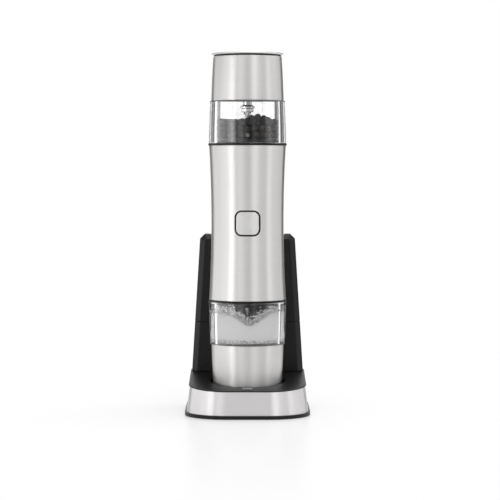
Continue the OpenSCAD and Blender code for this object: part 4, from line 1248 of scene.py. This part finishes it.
class MILL_OT_peppercorns(bpy.types.Operator):
    """Heap of dried peppercorns in the upper chamber"""

    bl_idname = "mill.peppercorns"
    bl_label = "Peppercorns"

    SEED = 11
    SPREAD = (0.90, 1.12)               # of the mean size
    PALE_PLACE = Vector((-0.3, -17.6, 5.2)) * MM      # one corn has lost its dark skin
    PALE_SHARE = 0.8                    # of the size it would have had
    SQUASH = (0.94, 1.03)
    TONES = (1.6, 2.2)                  # shape of the spread of tones from dark to pale
    TONE_TOP = 0.92
    WRINKLES = (900, 2100)              # noise per metre, for wide and narrow wrinkles
    WRINKLE_DEPTH = 0.07                # of the radius

    STEPS = 520
    PUSH = 0.42                         # share of an overlap that a step takes away
    SINK = 0.06 * MM
    WALL_PLAY = 0.15 * MM
    SHAFT_PLAY = 0.3 * MM
    FILL_TOP = 14 * MM

    ROOF = 15.2                         # the heap's surface, in millimetres above the chamber's open end
    HILL = 4.2
    HILL_X, HILL_Y, HILL_REACH = 6.5 * MM, -5 * MM, 6 * MM
    LEFT_RISE = 1.4

    def execute(self, context):
        s = sizes()
        random = np.random.RandomState(self.SEED)
        radii = s.corn_size / 2 * random.uniform(*self.SPREAD, s.corn_count)
        places = self.settled(radii, random)
        pale = int(np.argmin(np.linalg.norm(places - np.array(self.PALE_PLACE), axis=1)))
        places[pale] = self.PALE_PLACE
        radii[pale] *= self.PALE_SHARE

        def add_corn(bm, i):
            turn = Euler(random.uniform(0, TURN, 3)).to_matrix().to_4x4()
            squash = Matrix.Diagonal((*random.uniform(*self.SQUASH, 3), 1.0))
            centre = Vector((places[i][0], MILL_Y + places[i][1], MID_Z + CHAMBER_FOOT + places[i][2]))
            made = bmesh.ops.create_icosphere(bm, subdivisions=2, radius=radii[i], matrix=turn @ squash)
            tone = 1.0 if i == pale else random.beta(*self.TONES) * self.TONE_TOP
            offset = Vector(random.uniform(-9, 9, 3))
            for vert in made["verts"]:
                wide, narrow = (noise.noise(vert.co * scale + offset) for scale in self.WRINKLES)
                vert.co = vert.co * (1 + self.WRINKLE_DEPTH * (wide + 0.5 * narrow)) + centre
                vert[bm.verts.layers.float["corn_shade"]] = tone

        bm = gathered(s.corn_count, add_corn, "corn_shade")
        piece_from(bm, "peppercorns", "mill_body", "peppercorns", "peppercorn_fill", 180)
        return {"FINISHED"}

    def roof(self, x, y):
        """Height of the heap's surface above the chamber's open end."""
        away = (x - self.HILL_X) ** 2 + (y - self.HILL_Y) ** 2
        hill = self.HILL * np.exp(-away / (2 * self.HILL_REACH**2))
        slope = self.LEFT_RISE * np.clip(-x / (20 * MM), 0, 1)
        return (self.ROOF + hill + slope) * MM

    def settled(self, radii, random):
        """Centres of the corns after they have pushed each other apart and sunk."""
        count = len(radii)
        wall = sizes().chamber_bore - self.WALL_PLAY
        core = SHAFT_R + self.SHAFT_PLAY
        angle = random.uniform(0, TURN, count)
        distance = np.sqrt(random.uniform(core**2, wall**2, count))
        height = random.uniform(FILL_FOOT, self.FILL_TOP, count)
        at = np.stack([distance * np.cos(angle), distance * np.sin(angle), height], axis=1)
        reach = radii[:, None] + radii[None, :]
        for step in range(self.STEPS):
            at[:, 2] -= self.SINK * (1 - step / self.STEPS)
            apart = at[:, None, :] - at[None, :, :]
            gap = np.linalg.norm(apart, axis=2) + np.eye(count)
            overlap = np.clip(reach - gap, 0, None)
            np.fill_diagonal(overlap, 0)
            at += self.PUSH * (apart / gap[:, :, None] * overlap[:, :, None]).sum(axis=1)
            across = np.hypot(at[:, 0], at[:, 1]) + 1e-9
            kept = np.clip(across, core + radii, wall - radii)
            at[:, :2] *= (kept / across)[:, None]
            at[:, 2] = np.clip(at[:, 2], FILL_FOOT + radii, self.roof(at[:, 0], at[:, 1]) - radii)
        return at


class MILL_OT_salt(bpy.types.Operator):
    """Coarse salt in the lower chamber, with a hollow where it has run down to the grinder"""

    bl_idname = "mill.salt"
    bl_label = "Salt"

    SEED = 5
    JOINT = MID_Z - CHAMBER_FOOT        # where the chamber meets the body
    CLEAR = 0.05 * MM                   # between the salt and the bore
    PRESS = 0.02 * MM                   # how far the salt is pressed into the bore where it touches
    CLEAR_SIDES = ((61, 69), (84, 112))     # where it doesn't touch, in degrees from the front
    CORE_R = 2.6 * MM                   # round the shaft
    ROOM_PLAY = 0.9 * MM                # round the bridge
    ARM_PLAY = 0.3 * MM

    TOP_DROP = 6.4 * MM
    TOP_TILT = 0.04
    HOLLOW_DEPTH = 7.8 * MM
    HOLLOW_X, HOLLOW_WIDTH = 1.6 * MM, 5.8 * MM
    HOLLOW_BACK, HOLLOW_FADE = 12 * MM, 7 * MM
    RIPPLES = (260, 900)                # noise per metre, for coarse and fine ripples

    STEPS = 180                         # round the heap
    RINGS = 26                          # on its top, from the shaft to the wall
    LEVELS = 40                         # down its side
    FLOOR_RISE = 0.7 * MM
    PAINTED_SHADE_RISE = 3.0 * MM                # painted shade specks the lowest part of the heap
    PAINTED_SHADE_FADE = 2.4 * MM
    SPECKS = 2100                       # noise per metre, of the painted shade specks
    SPECK_SHARPNESS = 4.5

    GRAIN_RISE = 1.2 * MM
    GRAIN_REACH = 0.8                   # of a grain's size, from its middle to its farthest corner
    GRAIN_CORE_R = 3.4 * MM
    SHELL = 0.2 * MM                    # depth of the layer of grains against the wall
    TOP_SPREAD = (-0.1, 0.45)           # of the grains on the heap, in millimetres above its surface
    CLING_SHARE = 0.45
    CLING_RISE = 1.6 * MM
    CLING_TOP = 2.6 * MM

    def execute(self, context):
        self.heap()
        self.grains()
        return {"FINISHED"}

    def wall(self, height):
        """Radius of the salt against the tapering bore."""
        share = min(max((self.JOINT - height) / BORE_LEN, 0), 1)
        return sizes().chamber_bore - sizes().bore_taper * share**2 - self.CLEAR

    def press(self, turn):
        """How far the salt stands out from its wall in a direction, where it touches the chamber."""
        side = abs((math.degrees(turn) + 270) % 360 - 180)
        clear = any(start < side < stop for start, stop in self.CLEAR_SIDES)
        return 0.0 if clear else self.CLEAR + self.PRESS

    def surface(self, x, y):
        """Height of the salt in the frame, at a place measured from the mill's axis."""
        across = (x - self.HOLLOW_X) / self.HOLLOW_WIDTH
        along = max(y + self.HOLLOW_BACK, 0) / self.HOLLOW_FADE
        hollow = math.exp(-(across * across + along * along) / 2)
        places = Vector((x, y, 0.0)), Vector((x, y, 0.01))
        coarse, fine = (noise.noise(place * scale) for place, scale in zip(places, self.RIPPLES))
        ripple = coarse * 0.6 + fine * 0.4
        level = self.JOINT - self.TOP_DROP + x * self.TOP_TILT
        return level - self.HOLLOW_DEPTH * hollow + ripple * MM

    def ring(self, share, height=None):
        """Points a share of the way from the shaft to the wall, on the heap's surface or at a height."""
        outer = self.wall(self.JOINT if height is None else height)
        radius = self.CORE_R + (outer - self.CORE_R) * share
        points = []
        for turn in (TURN * i / self.STEPS for i in range(self.STEPS)):
            x, y = radius * math.cos(turn), radius * math.sin(turn)
            points.append((x, MILL_Y + y, self.surface(x, y) if height is None else height))
        return points

    def side_ring(self, rim, floor, share):
        """Points a share of the way down the wall, from the rim of the heap to its floor."""
        points = []
        for k, (_, _, top) in enumerate(rim):
            turn, height = TURN * k / self.STEPS, top + (floor - top) * share
            radius = self.wall(height) + (self.press(turn) if share < 1 else 0.0)
            points.append((radius * math.cos(turn), MILL_Y + radius * math.sin(turn), height))
        return points

    def heap(self):
        floor = self.JOINT - CHAMBER_LEN + self.FLOOR_RISE
        arm = self.JOINT - ARM_H + self.ARM_PLAY
        rows = [self.ring(i / self.RINGS) for i in range(self.RINGS + 1)]
        rim = rows[-1]
        rows += [self.side_ring(rim, floor, i / self.LEVELS) for i in range(1, self.LEVELS + 1)]
        room = (BRIDGE_R + self.ROOM_PLAY - self.CORE_R) / (self.wall(floor) - self.CORE_R)
        rows += [self.ring(room, floor), self.ring(room, arm), self.ring(0, arm)]
        bm = lofted(rows, closed=True)
        shade = bm.verts.layers.float.new("grain_shade")
        # painted shade: dark specks low on the heap stand in for the shade in the gaps between grains
        for vert in bm.verts:
            painted_dark = min(max((floor + self.PAINTED_SHADE_RISE - vert.co.z) / self.PAINTED_SHADE_FADE, 0), 1)
            speck = noise.noise(vert.co * self.SPECKS) + 0.1
            vert[shade] = min(max(speck * self.SPECK_SHARPNESS * painted_dark, 0), 1)
        piece_from(bm, "salt_heap", "lower_head", "salt", "salt_fill", 60)

    def grains(self):
        """Loose crystals: half of them on the heap, a quarter on the wall above it, the rest in its side."""
        s = sizes()
        random = np.random.RandomState(self.SEED)
        floor = self.JOINT - CHAMBER_LEN + self.GRAIN_RISE
        reach = s.grain_size * self.GRAIN_REACH
        wall = self.wall(self.JOINT)

        def add_grain(bm, i):
            angle = random.uniform(0, TURN)
            on_top, clings = i % 2 == 0, i % 4 == 1
            inner = self.GRAIN_CORE_R if on_top else wall - reach - self.SHELL
            radius = math.sqrt(random.uniform(inner**2, (wall - reach) ** 2))
            top = self.surface(radius * math.cos(angle), radius * math.sin(angle))
            height = top + random.uniform(*self.TOP_SPREAD) * MM if on_top else random.uniform(floor, top)
            # painted shade of facets and gaps: each crystal is darkened at random, most on the heap's top
            painted_dark = random.beta(0.6, 2.0) if on_top else random.beta(0.5, 6)
            if clings:
                radius = wall - self.CLING_SHARE * s.grain_size
                top = self.surface(radius * math.cos(angle), radius * math.sin(angle))
                height = min(top + random.exponential(self.CLING_RISE), self.JOINT - self.CLING_TOP)
                painted_dark = random.beta(0.5, 4.0)
            if not (on_top or clings):
                radius = min(radius, self.wall(height) - reach)
            x, y = radius * math.cos(angle), radius * math.sin(angle)
            turn = Euler(random.uniform(0, TURN, 3)).to_matrix().to_4x4()
            size = Matrix.Diagonal((*(s.grain_size * random.uniform(0.6, 1.2, 3)), 1.0))
            place = Matrix.Translation((x, MILL_Y + y, height))
            made = bmesh.ops.create_cube(bm, size=1.0, matrix=place @ turn @ size)
            for vert in made["verts"]:
                vert[bm.verts.layers.float["grain_shade"]] = painted_dark

        bm = gathered(s.grain_count, add_grain, "grain_shade")
        piece_from(bm, "salt_grains", "lower_head", "salt", "salt_fill", 30, "grains")


# ---------------------------------------------------------------- pieces of the stand


class MILL_OT_stand(bpy.types.Operator):
    """Shell of the stand with its lip, well and rear skirt, and the steel band"""

    bl_idname = "mill.stand"
    bl_label = "Stand"

    PLAY = 0.02 * MM
    CUP_WALL = 1.8 * MM
    SOCKET_R = 3.7 * MM
    SOCKET_DEPTH = 9 * MM
    SOCKET_PLAY = 0.1 * MM
    LENS_PLAY = 0.15 * MM
    LENS_CUT = 5 * MM                   # above the lens, out through the top
    SKIRT_OVERLAP = 0.3 * MM            # into the shell behind it
    SKIRT_GAP = 0.15 * MM               # to the end of the band
    SMALL_BEVEL = 0.12 * MM
    BEND_STEPS = 5

    def execute(self, context):
        s = sizes()
        skirt_wall = s.band_wall + self.SKIRT_OVERLAP
        skirt = side_strip(0.0, skirt_wall, s.lip_height, False, BAND_END + self.SKIRT_GAP)
        cuts = [("DIFFERENCE", self.inlet()), ("DIFFERENCE", self.lens_slot())]
        shell = combined(self.shell(s), ("UNION", skirt), *cuts)
        piece_from(shell, "stand_shell", "stand", "black_plastic", "base_shell", 32)
        band = side_strip(0.0, s.band_wall - self.PLAY, s.lip_height + self.PLAY, True, BAND_END)
        piece_from(band, "stand_band", "stand", "brushed_steel", "base_trim", 32, "band")
        return {"FINISHED"}

    def inlet(self):
        z = (low("dc_socket").z + high("dc_socket").z) / 2
        y = high("dc_socket").y
        return rod(self.SOCKET_R, (0, y + self.SOCKET_PLAY, z), (0, y + self.SOCKET_DEPTH, z), 64)

    def lens_slot(self):
        """The opening for the lens, which goes on up through the sloping top."""
        lens_low, lens_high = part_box("indicator_lens")
        outline = rectangle(lens_high.x + self.LENS_PLAY, lens_low.z, lens_high.z + self.LENS_CUT)
        return prism(outline, lens_low.y - self.LENS_PLAY, lens_high.y + self.LENS_PLAY)

    def shell(self, s):
        """The moulding from the cup of the well, out under the band, over the lip and down into the well."""
        wall = s.band_wall + self.PLAY
        cup = WELL_R + self.CUP_WALL
        rows = [
            well_row(cup, height=WELL_FLOOR - self.CUP_WALL),
            well_row(cup, drop=s.shell_wall),
            side_row(wall + s.shell_wall, s.shell_wall),
            side_row(wall + s.shell_wall),
            side_row(wall),
            side_row(wall, s.lip_height),
            lip_row(lip_inset() + self.SMALL_BEVEL, s.lip_height),
            lip_row(lip_inset(), s.lip_height - self.SMALL_BEVEL),
        ]
        bend = [math.radians(90 * i / self.BEND_STEPS) for i in range(self.BEND_STEPS + 1)]
        shares = [(1 - math.cos(turn), 1 - math.sin(turn)) for turn in bend]
        rows += [lip_row(lip_inset() + s.lip_round * slow, s.lip_round * fast) for slow, fast in shares]
        rows += [well_row(WELL_R + s.well_round * fast, s.well_round * slow) for slow, fast in shares]
        rows.append(well_row(WELL_R, height=WELL_FLOOR))
        return lofted(rows)


class MILL_OT_back_rest(bpy.types.Operator):
    """The two mouldings of the back rest, with bevelled front edges and a dip behind the mill"""

    bl_idname = "mill.back_rest"
    bl_label = "Back rest"

    SEAM_GAP = 0.1 * MM
    FOOT_PLAY = 0.02 * MM
    CONTACT_WALL = 3 * MM
    CONTACT_PLAY = 0.08 * MM
    CONTACT_LIP = 1.5 * MM              # of the carrier, round its sliding part
    BOSS_DEPTH = 1 * MM                 # how far the boss and its opening reach into the rest
    OPENING_DEPTH = 4 * MM
    CORNER_RATE = 0.4                   # growth of a cut corner as the outline moves in
    FOOT_DEPTH = 6 * MM                 # how far the outline reaches below the rest, before it is cut
    OVER = 10 * MM                      # how far a cutting shape reaches past what it cuts

    def execute(self, context):
        s = sizes()
        lower = sliced(self.block(s, 0.0, REST_FRONT), (0, 0, SEAM_Z - self.SEAM_GAP), (0, 0, 1))
        slope = Vector((0, math.sin(s.top_slope), -math.cos(s.top_slope)))
        foot = Vector((0, REST_FRONT, top_height(REST_FRONT) + self.FOOT_PLAY))
        lower = softened(sliced(lower, foot, slope), s.rest_soft)
        lower = combined(lower, ("DIFFERENCE", self.hollow(s, None, SEAM_Z + MM)))
        upper = sliced(self.block(s, 0.0, REST_FRONT), (0, 0, SEAM_Z + self.SEAM_GAP), (0, 0, -1))
        boss = self.contact_block(self.CONTACT_WALL)
        upper = softened(combined(upper, ("DIFFERENCE", self.saddle(s, 0.0)), ("UNION", boss)), s.rest_soft)
        opening = self.contact_block(self.CONTACT_PLAY, True)
        hollow = self.hollow(s, SEAM_Z - MM, None)
        upper = combined(upper, ("DIFFERENCE", hollow), ("DIFFERENCE", opening))
        for bm, name, node in ((lower, "rest_lower", "back_lower"), (upper, "rest_upper", "back_upper")):
            level_faces(piece_from(bm, name, "stand", "black_plastic", node, 40))
        return {"FINISHED"}

    def outline(self, s, inset):
        """The rest seen from the front: a tall shape that narrows upwards, with cut upper corners."""
        z_low, z_mid = low("back_lower").z, low("back_upper").z
        half_low, half_mid = half_width("back_lower"), half_width("back_upper")
        corner = s.rest_corner + self.CORNER_RATE * inset
        rate = (half_mid - half_low) / (z_mid - z_low)
        z_foot = z_low - self.FOOT_DEPTH
        half_foot = half_low + rate * (z_foot - z_low) - inset
        half_top = half_low + rate * (REST_TOP - s.rest_corner - z_low) - inset
        flat = half_top + inset - corner
        return [
            (-half_foot, z_foot), (-half_top, REST_TOP - corner), (-flat, REST_TOP - inset),
            (flat, REST_TOP - inset), (half_top, REST_TOP - corner), (half_foot, z_foot),
        ]

    def block(self, s, inset, y_front, y_back=REST_BACK):
        """The solid rest with bevelled front edges, moved in by inset on all sides."""
        rows = ((s.rest_bevel + inset, y_front), (inset, y_front + s.rest_bevel), (inset, y_back))
        return lofted([[(x, y, z) for x, z in self.outline(s, row_inset)] for row_inset, y in rows])

    def saddle(self, s, wall):
        """The dip behind the mill, as a shape to cut with, or the same with a wall left round it."""
        inner = s.saddle_half - s.saddle_round + wall
        floor = REST_TOP - s.saddle_depth - wall
        bend = s.saddle_round - wall
        over = REST_TOP + self.OVER
        right = arc((s.saddle_half, REST_TOP - s.saddle_round), bend, 180, 90, 8)
        half = [(inner, floor), *right, (s.saddle_half, over)]
        outline = [(-x, z) for x, z in reversed(half)] + half
        return prism(outline, REST_FRONT - self.OVER, REST_BACK + self.OVER)

    def hollow(self, s, z_low, z_high):
        """The space inside the rest, open at the rear, and open at the seam or at the foot."""
        space = self.block(s, s.shell_wall, REST_FRONT + s.shell_wall, REST_BACK + MM)
        if z_high is not None:
            return sliced(space, (0, 0, z_high), (0, 0, 1))
        space = sliced(space, (0, 0, z_low), (0, 0, -1))
        return combined(space, ("DIFFERENCE", self.saddle(s, s.shell_wall + 0.1 * MM)))

    def contact_block(self, margin, through=False):
        """The boss round the sliding contact, or the opening through it."""
        block_low, block_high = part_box("contact_carrier")
        lip = self.CONTACT_LIP - margin
        half = block_high.x - lip
        z_low, z_high = block_low.z + lip, block_high.z - lip
        front = low("back_upper").y
        if through:
            return prism(rectangle(half, z_low, z_high), front - MM, REST_FRONT + self.OPENING_DEPTH)
        return prism(rectangle(half, z_low, z_high), front, REST_FRONT + self.BOSS_DEPTH)


class MILL_OT_contact_spring(bpy.types.Operator):
    """Coil spring behind the sliding contact"""

    bl_idname = "mill.contact_spring"
    bl_label = "Contact spring"

    WIRE_R = 0.3 * MM
    WINDINGS = 5
    STEPS = 20                  # in one winding
    SIDES = 10
    TRAVEL = 1.2 * MM

    def execute(self, context):
        front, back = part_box("contact_spring")
        middle = (front.z + back.z) / 2
        coil_r = (back.x - front.x) / 2 - self.WIRE_R
        length = back.y - front.y - 2 * self.WIRE_R
        count = self.WINDINGS * self.STEPS
        section = arc((coil_r, front.y + self.WIRE_R), self.WIRE_R, 0, 360, self.SIDES)[:-1]
        rows = []
        for i in range(count + 1):
            turn, rise = TURN * i / self.STEPS, length * i / count
            rows.append([(r * math.cos(turn), y + rise, middle + r * math.sin(turn)) for r, y in section])
        coil = piece_from(lofted(rows), "contact_coil", "stand", "spring_steel", "contact_spring", 50)
        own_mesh(coil)
        return {"FINISHED"}


class MILL_OT_carried_over(bpy.types.Operator):
    """Finishes of the pieces whose shape comes straight from the frame"""

    bl_idname = "mill.carried_over"
    bl_label = "Inner pieces"

    def execute(self, context):
        slots = {part["node"]: part["material_slot"] for part in frame["record"]["subparts"]}
        for name, node in frame["nodes"].items():
            finish = FINISHES[NODE_FINISH.get(name, slots[name])]
            if not node.data.materials:
                node.data.materials.append(finish)
            for slot in node.material_slots:
                slot.material = finish
        return {"FINISHED"}


# ---------------------------------------------------------------- panel and registration


class MILL_PT_panel(bpy.types.Panel):
    """Lists the operators and settings of the mill"""

    bl_label = "Salt and pepper mill"
    bl_idname = "MILL_PT_panel"
    bl_space_type = "VIEW_3D"
    bl_region_type = "UI"
    bl_category = "Mill"

    def draw(self, context):
        for operator in OPERATORS:
            self.layout.operator(operator.bl_idname)
        for settings in (context.scene.mill_sizes, context.scene.mill_colours):
            for name in settings.__annotations__:
                self.layout.prop(settings, name)


OPERATORS = (
    MILL_OT_stage,
    MILL_OT_body_tube,
    MILL_OT_heads,
    MILL_OT_chambers,
    MILL_OT_caps,
    MILL_OT_button,
    MILL_OT_spindles,
    MILL_OT_bridges,
    MILL_OT_peppercorns,
    MILL_OT_salt,
    MILL_OT_stand,
    MILL_OT_back_rest,
    MILL_OT_contact_spring,
    MILL_OT_carried_over,
)
CLASSES = (MillSizes, MillColours, *OPERATORS, MILL_PT_panel)


def register():
    for kind in CLASSES:
        bpy.utils.register_class(kind)
    bpy.types.Scene.mill_sizes = bpy.props.PointerProperty(type=MillSizes)
    bpy.types.Scene.mill_colours = bpy.props.PointerProperty(type=MillColours)


def unregister():
    del bpy.types.Scene.mill_colours
    del bpy.types.Scene.mill_sizes
    for kind in reversed(CLASSES):
        bpy.utils.unregister_class(kind)


def main():
    register()
    make_finishes()
    for operator in OPERATORS:
        group, name = operator.bl_idname.split(".")
        getattr(getattr(bpy.ops, group), name)()


if __name__ == "__main__":
    main()
